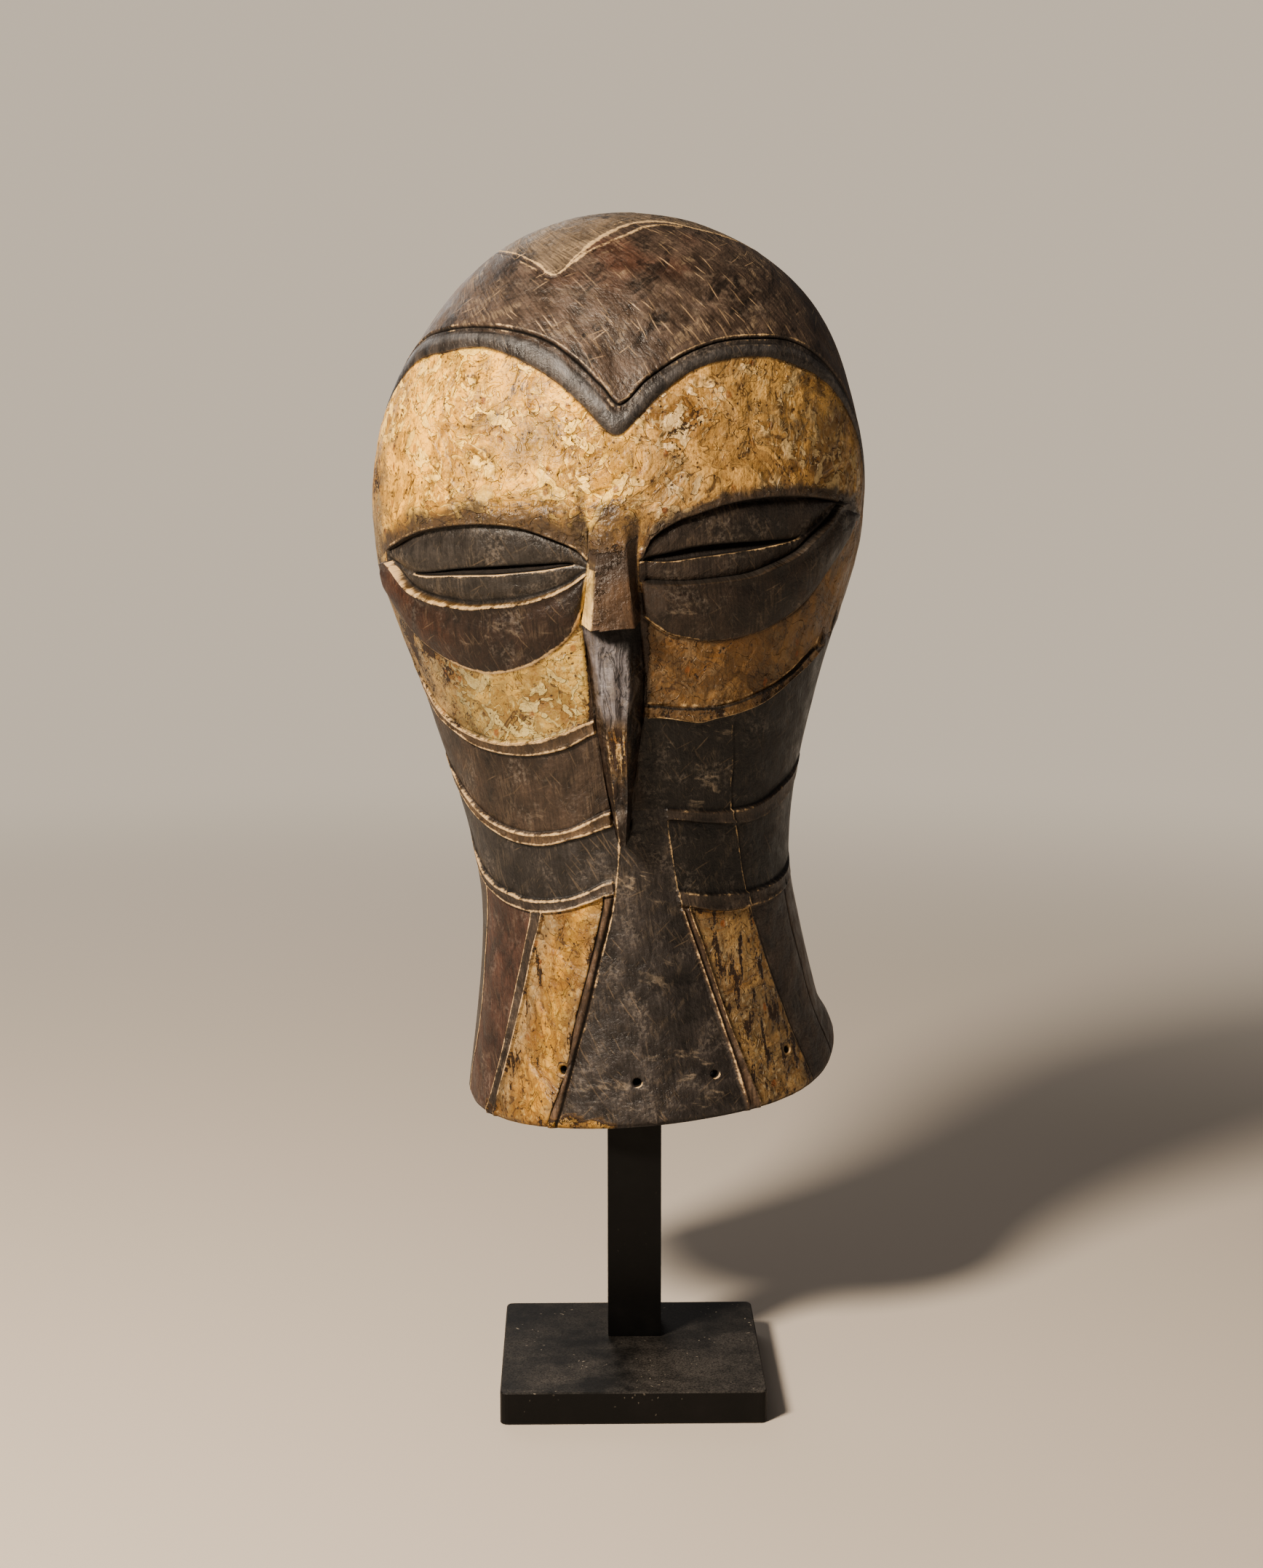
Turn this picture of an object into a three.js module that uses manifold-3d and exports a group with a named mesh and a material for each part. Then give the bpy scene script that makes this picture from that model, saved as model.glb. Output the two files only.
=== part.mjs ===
// A carved wooden face mask with an open back, shown on a square steel post that stands on a square plate.
// The front of the mask looks towards -Y. The origin is the middle of the plate's underside.
// The mask's skin is a bowed sheet. A place on it is given by an angle across, in degrees (0 is the middle
// of the face, -90 and 90 are its side edges), and a height along the skin in millimetres from the bottom rim.
import * as THREE from "three";
import { mergeVertices } from "three/addons/utils/BufferGeometryUtils.js";
import Module from "manifold-3d";

const PLATE_SIDE = 120;
const PLATE_THICK = 15;
const PLATE_CORNER = 3;
const PLATE_BEVEL = 0.6;
const POST_SIDE = 25;
const POST_X = 1.8;
const POST_Y = 24.2;
const POST_TOP = 492.3;
const SEAM = 0.3;

const MASK_X = 10;
const MASK_Y = 85;
const MASK_Z = 120.5;
const MASK_ROLL = THREE.MathUtils.degToRad(-3);
const WALL = 11.5;
const COLUMNS = 24;
const ROWS = 28;
const EDGE_ANGLE = 90;
const BACK_ANGLE = 96;
const BACK_STRIP = 13;

// The outline: half width, depth and sideways drift of the middle, by height.
const DOME_START = 286;
const DOME_RISE = 136.6;
const DOME_POWER = 2.07;
const HALF_WIDTH = [
  [0, 91.5], [40, 84.3], [75, 78.7], [105, 76.2], [135, 79.3],
  [165, 86.1], [200, 96.2], [235, 107.9], [260, 115.6], [286, 118.4],
];
const DEPTH = [
  [0, 94], [50, 89.5], [100, 86.9], [140, 89.7], [180, 94.5], [220, 101], [255, 108], [286, 113],
];
const MIDDLE = [
  [0, 2.2], [75, 0.6], [120, -1.8], [165, -2.5], [210, -1.9], [260, -0.6],
  [300, 1], [335, 2.5], [370, 6.4], [400, 6.6], [423, 5],
];
const RIM = [[-90, 2], [-50, 0], [-14, 2], [14, 4], [42, 6], [60, 9], [77, 14], [90, 20]];

// Carved lines that run across, as height by angle.
const BROW_TOP = [
  [-90, 318], [-86, 345], [-75, 370], [-56, 377], [-42, 377], [-29, 373], [-19, 366], [-11, 355],
  [-4, 342], [0, 334], [6, 345], [15, 356], [25, 362], [36, 363], [47, 361], [57, 353],
  [66, 340], [74, 322], [82, 300], [90, 276],
];
const BROW_FOOT = [
  [-90, 296], [-86, 330], [-70, 359], [-54, 365], [-40, 366], [-30, 361], [-21, 353], [-14, 344],
  [-8, 333], [-1, 320], [5, 330], [10, 339], [17, 348], [27, 353], [38, 353], [48, 348],
  [59, 339], [67, 328], [74, 312], [82, 290], [90, 266],
];
const EYES = [
  {
    bagFrom: -83, bagTo: -7.5, hollowFrom: -68.5, hollowTo: -7.4, slitFrom: -57, slitTo: -11.4,
    lid: [[-84, 262], [-76, 267], [-64, 274], [-52, 280], [-39, 283], [-31, 283], [-23, 281],
      [-16, 276], [-10, 270], [-7, 264]],
    slit: [[-84, 262], [-69, 266], [-57, 260.5], [-40, 261.5], [-30, 262], [-18, 263], [-11.5, 263.5], [-7, 262]],
    ledge: [[-84, 261], [-69, 266], [-65, 263], [-59, 254], [-51, 249], [-44, 247], [-38, 246], [-33, 246.5],
      [-25, 247.5], [-17, 251], [-12, 255], [-7, 260]],
    bag: [[-84, 258], [-74.5, 248], [-67, 235], [-55, 223], [-44, 216.5], [-36, 215], [-26, 218], [-17, 226],
      [-12, 234], [-9.4, 244], [-7, 258]],
    step: 2.6,
  },
  {
    bagFrom: 4.6, bagTo: 77, hollowFrom: 4.6, hollowTo: 59.5, slitFrom: 4.8, slitTo: 44.5,
    lid: [[4.2, 265], [6.2, 273], [11.5, 280], [17, 283.5], [24, 287], [33, 288.5], [42, 288],
      [54, 285], [68, 279], [78, 276]],
    slit: [[4.2, 264], [10, 264.5], [17, 266], [27, 266.8], [36, 267.3], [44.5, 268.5], [52, 275], [59.5, 283.2], [68, 278.8], [78, 275.5]],
    ledge: [[4.2, 255], [13.6, 253], [21.4, 253], [30, 254], [36, 257], [43.5, 262], [48.6, 268],
      [55.3, 275.5], [59.5, 283], [68, 278.5], [78, 275]],
    bag: [[4.2, 240], [10.4, 231], [14.5, 228.5], [21, 226], [27.7, 226], [37.4, 228.5], [45, 234], [50.3, 239],
      [57.8, 253], [64.5, 264], [69, 271], [78, 274]],
    step: 3.8,
  },
];
// Raised flat bands that run across the cheeks and the neck, each with a top and a foot edge.
const RINGS = [
  { from: -80, to: -9, top: [[-80, 217], [-71, 200], [-60, 190], [-50, 185], [-41, 182.5], [-34, 182.5],
    [-26, 184], [-19, 187], [-9, 193]],
    foot: [[-80, 207], [-71, 194], [-60, 186], [-51, 180.5], [-43, 178], [-36, 177], [-30, 177],
      [-23, 178.5], [-17, 181], [-9, 187]] },
  { from: 6, to: 84, top: [[6, 198], [14, 196], [21, 195], [29, 195], [38, 198], [45, 201], [52, 206], [58, 212],
    [70, 223], [84, 236]],
    foot: [[6, 193], [21, 189], [26, 190], [32, 191], [41, 194], [47, 198], [54, 204], [70, 216], [84, 229]] },
  { from: -84, to: -6.5, top: [[-84, 171], [-78, 165], [-71, 157], [-65, 151], [-54.5, 144], [-45.5, 140.5],
    [-37.5, 139], [-30, 139.5], [-21, 141.5], [-15, 145], [-6, 150]],
    foot: [[-84, 163], [-78, 157], [-64, 145], [-53, 139], [-45, 135.5], [-36, 134], [-29, 134.5],
      [-22, 137], [-15, 139.5], [-6, 143.5]] },
  { from: 11.5, to: 84, top: [[11, 149.5], [22, 147], [29, 145.5], [34.5, 145], [43.5, 145], [52, 147], [61, 151],
    [78, 158], [84, 161]],
    foot: [[11, 145], [26, 141.5], [35, 139.5], [43, 138.5], [51, 139.5], [64, 144], [75, 150], [84, 155]] },
  { from: -84, to: -8, top: [[-84, 133], [-78, 125], [-71, 117], [-62, 111.5], [-52, 109], [-43.5, 107], [-36, 107],
    [-25, 109], [-18, 112], [-8, 117]],
    foot: [[-84, 125], [-70, 111], [-60, 106], [-51, 103], [-41, 101.5], [-33, 102], [-25, 104],
      [-18, 107], [-8, 111]] },
  { from: 14, to: 86, top: [[14, 111], [22, 108], [31.5, 106], [42, 104.5], [51, 104.5], [64, 106], [77, 109],
    [86, 112]],
    foot: [[14, 104.5], [23, 101], [32, 98.5], [43, 98], [52, 98], [66, 100], [86, 104]] },
];
// Raised strips that run down to the rim, as angle by height: the two edges of each.
const STRIPS = [
  { head: 105, rise: 1.4, round: 0, left: [[0, -62.5], [6, -61], [29, -56], [52, -52], [69, -49], [86, -45], [106, -41]],
    right: [[0, -57.5], [8, -56], [38, -50], [69, -44], [83, -41], [97, -37], [106, -35.5]] },
  { head: 109, rise: 1.9, round: 1, left: [[0, -35], [4, -34], [18, -30.4], [32, -27.5], [51, -25], [70, -21], [89, -16.5],
    [109, -12]],
    right: [[0, -31], [9, -29], [23, -26.7], [38, -24], [52, -21], [66, -18.3], [82, -15], [96, -11.4], [109, -8.4]] },
  { head: 102, rise: 1.4, round: 0, left: [[0, 27.5], [5, 27.3], [26, 25.6], [44, 23.5], [66, 20.3], [87, 17], [103, 14.8]],
    right: [[0, 32.6], [7, 32], [15, 30.8], [32, 28.6], [48, 26], [69, 23], [87, 20.4], [103, 18]] },
];

// The nose and the beak below it: side edges and the edges of the flat front, as angle by height.
const NOSE = { foot: 237, head: 292,
  left: [[237, -8.8], [267, -6], [292, -4.4]], right: [[237, 3.9], [267, 2.4], [292, 1.6]],
  flatLeft: [[237, -5.9], [267, -4.9], [292, -3.2]], flatRight: [[237, 3.3], [267, 1.4], [292, 0.6]],
  proud: [[237, 13], [267, 5], [292, 0.1]] };
const BEAK = { foot: 137, head: 237,
  left: [[137, -4.7], [159, -6], [180, -7.9], [207, -8.7], [237, -8.7]],
  right: [[137, -1.2], [153, 0.4], [174, 2.9], [190, 4.4], [211, 5], [237, 3.6]],
  flatLeft: [[137, -3.6], [158, -4.1], [185, -4.7], [207, -6.2], [237, -6.6]],
  flatRight: [[137, -2.1], [158, -0.8], [185, -0.3], [206, 0.5], [237, 1.5]],
  proud: [[137, 17], [159, 16.5], [180, 15], [207, 12], [237, 8.5]] };

const RIM_HOLES = [[-29.2, 28], [-5.3, 22], [19, 22], [47.7, 25]];
const RIM_HOLE_RADIUS = 2;
const SLIT_HEIGHT = 3.2;
const SLIT_RISE = 9;

const clamp01 = (v) => Math.min(1, Math.max(0, v));

// A smooth curve through a few points.
function curve(points) {
  const count = points.length;
  const slopes = points.map((point, i) => {
    const before = points[Math.max(0, i - 1)];
    const after = points[Math.min(count - 1, i + 1)];
    return (after[1] - before[1]) / (after[0] - before[0]);
  });
  return (at) => {
    const x = Math.min(points[count - 1][0], Math.max(points[0][0], at));
    let i = 0;
    while (i < count - 2 && x > points[i + 1][0]) i += 1;
    const span = points[i + 1][0] - points[i][0];
    const t = (x - points[i][0]) / span;
    const a = 2 * t ** 3 - 3 * t ** 2 + 1;
    const b = t ** 3 - 2 * t ** 2 + t;
    const c = t ** 3 - t ** 2;
    return a * points[i][1] + (1 - a) * points[i + 1][1] + span * (b * slopes[i] + c * slopes[i + 1]);
  };
}

const halfWidth = curve(HALF_WIDTH);
const depth = curve(DEPTH);
const middle = curve(MIDDLE);
const rim = curve(RIM);
const browTop = curve(BROW_TOP);
const browFoot = curve(BROW_FOOT);
const asCurves = (item, names) => ({ ...item, ...Object.fromEntries(names.map((name) => [name, curve(item[name])])) });
const eyes = EYES.map((eye) => asCurves(eye, ["lid", "slit", "ledge", "bag"]));
const rings = RINGS.map((ring) => asCurves(ring, ["top", "foot"]));
const strips = STRIPS.map((strip) => asCurves(strip, ["left", "right"]));
const nose = asCurves(NOSE, ["left", "right", "flatLeft", "flatRight", "proud"]);
const beak = asCurves(BEAK, ["left", "right", "flatLeft", "flatRight", "proud"]);

const SKIN_TOP = DOME_START + DOME_RISE * Math.PI / 2;

// A point of the bowed sheet, set in by the given depth.
function sheet(angle, along, inset) {
  const dome = Math.sin(Math.min(Math.PI / 2, Math.max(0, (along - DOME_START) / DOME_RISE)));
  let z = Math.min(along, DOME_START) + (DOME_RISE - inset) * dome;
  if (along > SKIN_TOP - 1e-6) z = DOME_START + DOME_RISE - inset;
  const narrow = dome >= 1 - 1e-9 ? 0 : (1 - dome ** DOME_POWER) ** (1 / DOME_POWER);
  const shape = Math.min(z, DOME_START);
  const edge = THREE.MathUtils.degToRad(Math.min(EDGE_ANGLE, Math.max(-EDGE_ANGLE, angle)));
  const x = middle(z) + (halfWidth(shape) - inset) * narrow * Math.sin(edge);
  const beyond = Math.max(0, Math.abs(angle) - EDGE_ANGLE) / (BACK_ANGLE - EDGE_ANGLE);
  const y = beyond > 0 ? BACK_STRIP * beyond : -(depth(shape) - inset) * narrow * Math.cos(edge);
  const low = clamp01(1 - along / 45);
  z += rim(angle) * low * low * (3 - 2 * low);
  return new THREE.Vector3(x, y, z);
}

function outward(angle, along) {
  const a = Math.min(89.5, Math.max(-89.5, angle));
  const s = Math.min(SKIN_TOP - 4, along);
  const across = sheet(a + 0.3, s, 0).sub(sheet(a - 0.3, s, 0));
  const up = sheet(a, s + 0.5, 0).sub(sheet(a, Math.max(0, s - 0.5), 0));
  return across.cross(up).normalize();
}

// A place on or off the skin: angle across, height along, and how far it stands proud (below 0 is sunk).
function place(angle, along, proud) {
  return sheet(angle, along, 0).addScaledVector(outward(angle, along), proud);
}

// The plain skin is a grid, closer at the eyes.
const COLUMN_ANGLES = [-BACK_ANGLE];
for (let i = 0; i <= COLUMNS; i += 1) COLUMN_ANGLES.push(-EDGE_ANGLE + 2 * EDGE_ANGLE * i / COLUMNS);
COLUMN_ANGLES.push(BACK_ANGLE);

const points = [];
const faces = [];
const addPoint = (point) => points.push(point) - 1;

// One wall of the skin as a grid of points; its top row shrinks to the crown point.
function wall(inset, rows) {
  const grid = [];
  for (let row = 0; row <= rows; row += 1) {
    const line = [];
    for (const angle of COLUMN_ANGLES) {
      const crown = row === rows && Math.abs(angle) <= EDGE_ANGLE && line.length > 1;
      line.push(crown ? line[1] : addPoint(sheet(angle, SKIN_TOP * row / rows, inset)));
    }
    grid.push(line);
  }
  return grid;
}

function stitch(grid, outside) {
  for (let row = 0; row < grid.length - 1; row += 1) {
    for (let i = 0; i < COLUMN_ANGLES.length - 1; i += 1) {
      const [a, b, c, d] = [grid[row][i], grid[row][i + 1], grid[row + 1][i + 1], grid[row + 1][i]];
      if (outside) faces.push([a, b, c], [a, c, d]);
      else faces.push([a, c, b], [a, d, c]);
    }
  }
}

const skin = wall(0, ROWS);
const inside = wall(WALL, ROWS / 2);
stitch(skin, true);
stitch(inside, false);
// The rim and the flat back edge join the two walls.
const last = COLUMN_ANGLES.length - 1;
for (let i = 0; i < last; i += 1) {
  faces.push([skin[0][i], inside[0][i], inside[0][i + 1]], [skin[0][i], inside[0][i + 1], skin[0][i + 1]]);
}
for (const side of [0, last]) {
  for (let row = 0; row < ROWS / 2; row += 1) {
    const [a, b, c] = [skin[2 * row][side], skin[2 * row + 1][side], skin[2 * row + 2][side]];
    const [d, e] = [inside[row][side], inside[row + 1][side]];
    if (side === 0) faces.push([a, b, d], [b, e, d], [b, c, e]);
    else faces.push([a, d, b], [b, d, e], [b, e, c]);
  }
}

function closedGeometry(corner, triangles) {
  const raw = new THREE.BufferGeometry();
  raw.setAttribute("position", new THREE.Float32BufferAttribute(corner.flatMap((p) => [p.x, p.y, p.z]), 3));
  raw.setIndex(triangles.flat());
  const merged = mergeVertices(raw, 1e-3);
  const index = merged.index.array;
  const kept = [];
  for (let i = 0; i < index.length; i += 3) {
    const [a, b, c] = [index[i], index[i + 1], index[i + 2]];
    if (a !== b && b !== c && c !== a) kept.push(a, b, c);
  }
  merged.setIndex(kept);
  return merged;
}

// Holes are cut through the wall: the two eye slits and the four small holes above the rim.
const wasm = await Module();
wasm.setup();

function solid(geometry) {
  const bare = geometry.clone();
  bare.deleteAttribute("normal");
  bare.deleteAttribute("uv");
  const merged = mergeVertices(bare, 1e-3);
  return new wasm.Manifold(new wasm.Mesh({
    numProp: 3,
    vertProperties: merged.attributes.position.array,
    triVerts: new Uint32Array(merged.index.array),
  }));
}

function geometryOf(made) {
  const mesh = made.getMesh();
  const geometry = new THREE.BufferGeometry();
  geometry.setAttribute("position", new THREE.Float32BufferAttribute(mesh.vertProperties, 3));
  geometry.setIndex(Array.from(mesh.triVerts));
  return geometry;
}

function holeCutter([angle, along]) {
  const outer = sheet(angle, along, 0);
  const way = outward(angle, along).setZ(0).normalize();
  const drill = new THREE.CylinderGeometry(RIM_HOLE_RADIUS, RIM_HOLE_RADIUS, 40, 16);
  drill.applyQuaternion(new THREE.Quaternion().setFromUnitVectors(new THREE.Vector3(0, 1, 0), way));
  drill.translate(outer.x, outer.y, outer.z);
  return solid(drill);
}

// A solid that runs through cross-sections, each an outline of places, and is closed at both ends.
function loft(sections) {
  const size = sections[0].length;
  const corner = sections.flat();
  const triangles = [];
  for (let k = 0; k < sections.length - 1; k += 1) {
    for (let i = 0; i < size; i += 1) {
      const next = (i + 1) % size;
      const [a, b, c, d] = [k * size + i, k * size + next, (k + 1) * size + next, (k + 1) * size + i];
      triangles.push([a, b, c], [a, c, d]);
    }
  }
  const end = (sections.length - 1) * size;
  for (let i = 1; i < size - 1; i += 1) triangles.push([0, i + 1, i], [end, end + i, end + i + 1]);
  const made = solid(closedGeometry(corner, triangles));
  if (made.volume() > 0) return made;
  return solid(closedGeometry(corner, triangles.map(([a, b, c]) => [a, c, b])));
}

// A shape that runs across the mask: at each angle an outline of heights along and how proud they stand.
function runAcross(from, to, steps, outline) {
  const sections = [];
  for (let i = 0; i <= steps; i += 1) {
    const angle = from + (to - from) * i / steps;
    sections.push(outline(angle, i / steps).map(([along, proud]) => place(angle, along, proud)));
  }
  return loft(sections);
}

// A shape that runs up the mask: at each height an outline of angles and how proud they stand.
function runUp(foot, head, steps, outline) {
  const sections = [];
  for (let i = 0; i <= steps; i += 1) {
    const along = foot + (head - foot) * i / steps;
    sections.push(outline(along, i / steps).map(([angle, proud]) => place(angle, along, proud)));
  }
  return loft(sections);
}

const mix = (a, b, t) => a + (b - a) * t;
// Carving that runs across dies away towards the side edges.
const fade = (angle) => clamp01((87 - Math.abs(angle)) / 18);
const added = [];
const taken = [];

// The brow: a rounded bead with the crisp edge of the forehead panel above it.
added.push(runAcross(-86, 84, 34, (angle) => {
  const foot = browFoot(angle);
  const top = browTop(angle) - 0.8;
  const k = fade(angle);
  return [[foot, -3], [foot, 0.3 * k], [mix(foot, top, 0.25), 1.8 * k], [mix(foot, top, 0.55), 2.2 * k],
    [mix(foot, top, 0.85), 1.6 * k], [top, -0.4], [top, -3]];
}));
added.push(runAcross(-86, 84, 34, (angle) => {
  const foot = browTop(angle);
  const k = fade(angle);
  return [[foot, -3], [foot, 1.4 * k], [foot + 1.5, 1.9 * k], [foot + 9, 1.4 * k], [foot + 20, -0.3], [foot + 20, -3]];
}));

for (const eye of eyes) {
  const steps = 16;
  const { slit, ledge, bag } = eye;
  const lid = (angle) => Math.max(eye.lid(angle), ledge(angle) + 0.2);
  const full = (angle) => clamp01((ledge(angle) - bag(angle)) / 14);
  const open = (angle) => clamp01((lid(angle) - ledge(angle)) / 12);
  // the bag under the eye, with the raised ledge along its top
  added.push(runAcross(eye.bagFrom, eye.bagTo, steps, (angle) => {
    const top = ledge(angle);
    const foot = Math.min(top - 1, bag(angle));
    const k = full(angle);
    return [[foot, -3], [foot, 0.5 * k], [mix(foot, top, 0.12), 1.6 * k], [mix(foot, top, 0.45), 3.4 * k],
      [mix(foot, top, 0.75), 3 * k], [mix(foot, top, 0.88), 1.9 * k], [top - 0.3, 2.6 * k], [top, -3]];
  }));
  // the hollow between the upper lid and the ledge
  taken.push(runAcross(eye.hollowFrom, eye.hollowTo, steps, (angle) => {
    const top = lid(angle);
    const foot = Math.min(top - 0.4, ledge(angle));
    const middleLine = Math.min(top - 0.2, Math.max(foot + 0.2, slit(angle)));
    const k = open(angle);
    return [[foot, 6], [foot, 0.2], [mix(foot, middleLine, 0.2), -1.6 * k], [mix(foot, middleLine, 0.8), -1.7 * k],
      [middleLine, -2.8 * k - 0.1], [mix(middleLine, top, 0.2), -1.9 * k - 0.1],
      [mix(middleLine, top, 0.7), -1.5 * k - 0.1], [top, -eye.step * k - 0.2], [top, 6]];
  }));
}

// The eye slits slope upwards on their way in.
for (const eye of eyes) {
  taken.push(runAcross(eye.slitFrom, eye.slitTo, 10, (angle, t) => {
    const half = SLIT_HEIGHT / 2 * Math.max(0.15, Math.sin(Math.PI * mix(0.05, 0.95, t)) ** 0.5);
    const at = eye.slit(angle);
    return [[at - half, -3], [at + half, -3], [at + SLIT_RISE + half, -WALL - 4],
      [at + SLIT_RISE - 0.8 * half, -WALL - 4]];
  }));
}

for (const ring of rings) {
  const steps = Math.round((ring.to - ring.from) / 6);
  added.push(runAcross(ring.from, ring.to, steps, (angle) => {
    const top = ring.top(angle);
    const foot = ring.foot(angle);
    const k = fade(angle);
    return [[foot, -3], [foot, 1.3 * k], [mix(foot, top, 0.5), 1.9 * k], [top, 1.3 * k], [top, -3]];
  }));
}

for (const strip of strips) {
  added.push(runUp(0.6, strip.head, 10, (along) => {
    const left = strip.left(along);
    const right = strip.right(along);
    const shape = strip.round
      ? [[0, -3], [0, 0.4], [0.3, strip.rise], [0.7, strip.rise], [1, 0.4], [1, -3]]
      : [[0, -3], [0, strip.rise], [1, strip.rise], [1, -3]];
    return shape.map(([t, proud]) => [mix(left, right, t), proud]).reverse();
  }));
}

for (const wedge of [beak, nose]) {
  added.push(runUp(wedge.foot, wedge.head, wedge === beak ? 12 : 6, (along) => [
    [wedge.right(along), -4], [wedge.right(along), 0], [wedge.flatRight(along), wedge.proud(along)],
    [wedge.flatLeft(along), wedge.proud(along)], [wedge.left(along), 0], [wedge.left(along), -4]]));
}

let carved = solid(closedGeometry(points, faces));
for (const piece of added) carved = carved.add(piece);
for (const piece of taken) carved = carved.subtract(piece);
for (const hole of RIM_HOLES) carved = carved.subtract(holeCutter(hole));

const darkWood = new THREE.MeshStandardMaterial({ color: 0x2a211c, roughness: 0.62, metalness: 0 });
const blackPaint = new THREE.MeshStandardMaterial({ color: 0x151516, roughness: 0.5, metalness: 0.2 });

const object = new THREE.Group();

const mask = new THREE.Mesh(geometryOf(carved), darkWood);
mask.name = "mask";
mask.position.set(MASK_X, MASK_Y, MASK_Z);
mask.rotation.y = MASK_ROLL;
object.add(mask);

const postHeight = POST_TOP - PLATE_THICK - SEAM;
const post = new THREE.Mesh(new THREE.BoxGeometry(POST_SIDE, POST_SIDE, postHeight), blackPaint);
post.name = "stand_post";
post.position.set(POST_X, POST_Y, PLATE_THICK + SEAM + postHeight / 2);
object.add(post);

const half = PLATE_SIDE / 2 - PLATE_BEVEL;
const r = PLATE_CORNER;
const square = new THREE.Shape();
square.moveTo(-half + r, -half);
square.lineTo(half - r, -half);
square.quadraticCurveTo(half, -half, half, -half + r);
square.lineTo(half, half - r);
square.quadraticCurveTo(half, half, half - r, half);
square.lineTo(-half + r, half);
square.quadraticCurveTo(-half, half, -half, half - r);
square.lineTo(-half, -half + r);
square.quadraticCurveTo(-half, -half, -half + r, -half);
const plateShape = { depth: PLATE_THICK - 2 * PLATE_BEVEL, bevelThickness: PLATE_BEVEL, bevelSize: PLATE_BEVEL,
  bevelSegments: 1, curveSegments: 4 };
const plate = new THREE.Mesh(new THREE.ExtrudeGeometry(square, plateShape), blackPaint);
plate.name = "stand_base";
plate.position.z = PLATE_BEVEL;
object.add(plate);

export default object;
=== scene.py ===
# A carved wooden face mask with an open back, on a black square post and plate.
# Sizes of the mask are in millimetres, as they are read on the wood, and become metres in worldPlace.
import math

import bpy
import numpy as np
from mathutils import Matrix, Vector, noise


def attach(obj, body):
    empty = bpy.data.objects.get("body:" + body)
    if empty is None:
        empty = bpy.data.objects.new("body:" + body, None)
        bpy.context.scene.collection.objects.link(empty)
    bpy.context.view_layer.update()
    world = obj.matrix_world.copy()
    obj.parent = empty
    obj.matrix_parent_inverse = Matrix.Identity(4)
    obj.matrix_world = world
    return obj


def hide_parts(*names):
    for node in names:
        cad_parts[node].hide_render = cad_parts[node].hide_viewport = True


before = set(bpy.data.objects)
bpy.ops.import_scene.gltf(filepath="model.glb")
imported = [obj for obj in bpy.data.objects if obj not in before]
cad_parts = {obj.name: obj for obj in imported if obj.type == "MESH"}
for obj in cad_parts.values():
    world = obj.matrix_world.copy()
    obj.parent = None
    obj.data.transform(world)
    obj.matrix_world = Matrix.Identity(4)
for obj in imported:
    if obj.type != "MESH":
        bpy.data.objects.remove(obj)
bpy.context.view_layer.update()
print("frame loaded")


def linear(red, green, blue):
    # a colour as seen on a screen, 0 to 255, in the linear values that shaders take
    def part(c):
        return c / 255 / 12.92 if c <= 10 else ((c / 255 + 0.055) / 1.055) ** 2.4
    return part(red), part(green), part(blue)


# camera, floor and lights
studio = {
    "cameraPlace": (-0.02278, -1.19857, 0.45737),
    "cameraTurn": 1.094,        # degrees to the right of straight ahead
    "cameraDip": 8.331,         # degrees below level
    "lens": 61.0,
    "floorColour": linear(214, 204, 192),
    "paleAir": linear(200, 187, 170),   # what the camera sees behind the object
    "air": linear(214, 206, 200),       # what lights it from all sides
    "airStrength": 0.15,
    "fadeFrom": 0.45, "fadeTo": 2.0,     # metres from the object over which the floor fades into the air
    "key": {"place": (-0.95, -1.05, 1.30), "aim": (0.0, 0.0, 0.36), "size": 0.40, "watts": 54.0,
            "colour": (1.0, 0.87, 0.72)},
    "fill": {"place": (1.3, -1.1, 0.6), "aim": (0.0, 0.0, 0.32), "size": 1.4, "watts": 0.8,
             "colour": (1.0, 0.92, 0.82)},
    "back": {"place": (-0.5, 1.2, 0.9), "aim": (0.0, 0.0, 0.34), "size": 1.0, "watts": 3.0,
             "colour": (1.0, 0.95, 0.9)},
}


def areaLight(name, lamp):
    light = bpy.data.lights.new(name, "AREA")
    light.shape = "DISK"
    light.size = lamp["size"]
    light.energy = lamp["watts"]
    light.color = lamp["colour"]
    holder = bpy.data.objects.new(name, light)
    bpy.context.scene.collection.objects.link(holder)
    holder.location = lamp["place"]
    aim = Vector(lamp["aim"]) - Vector(lamp["place"])
    holder.rotation_euler = aim.to_track_quat("-Z", "Y").to_euler()


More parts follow.
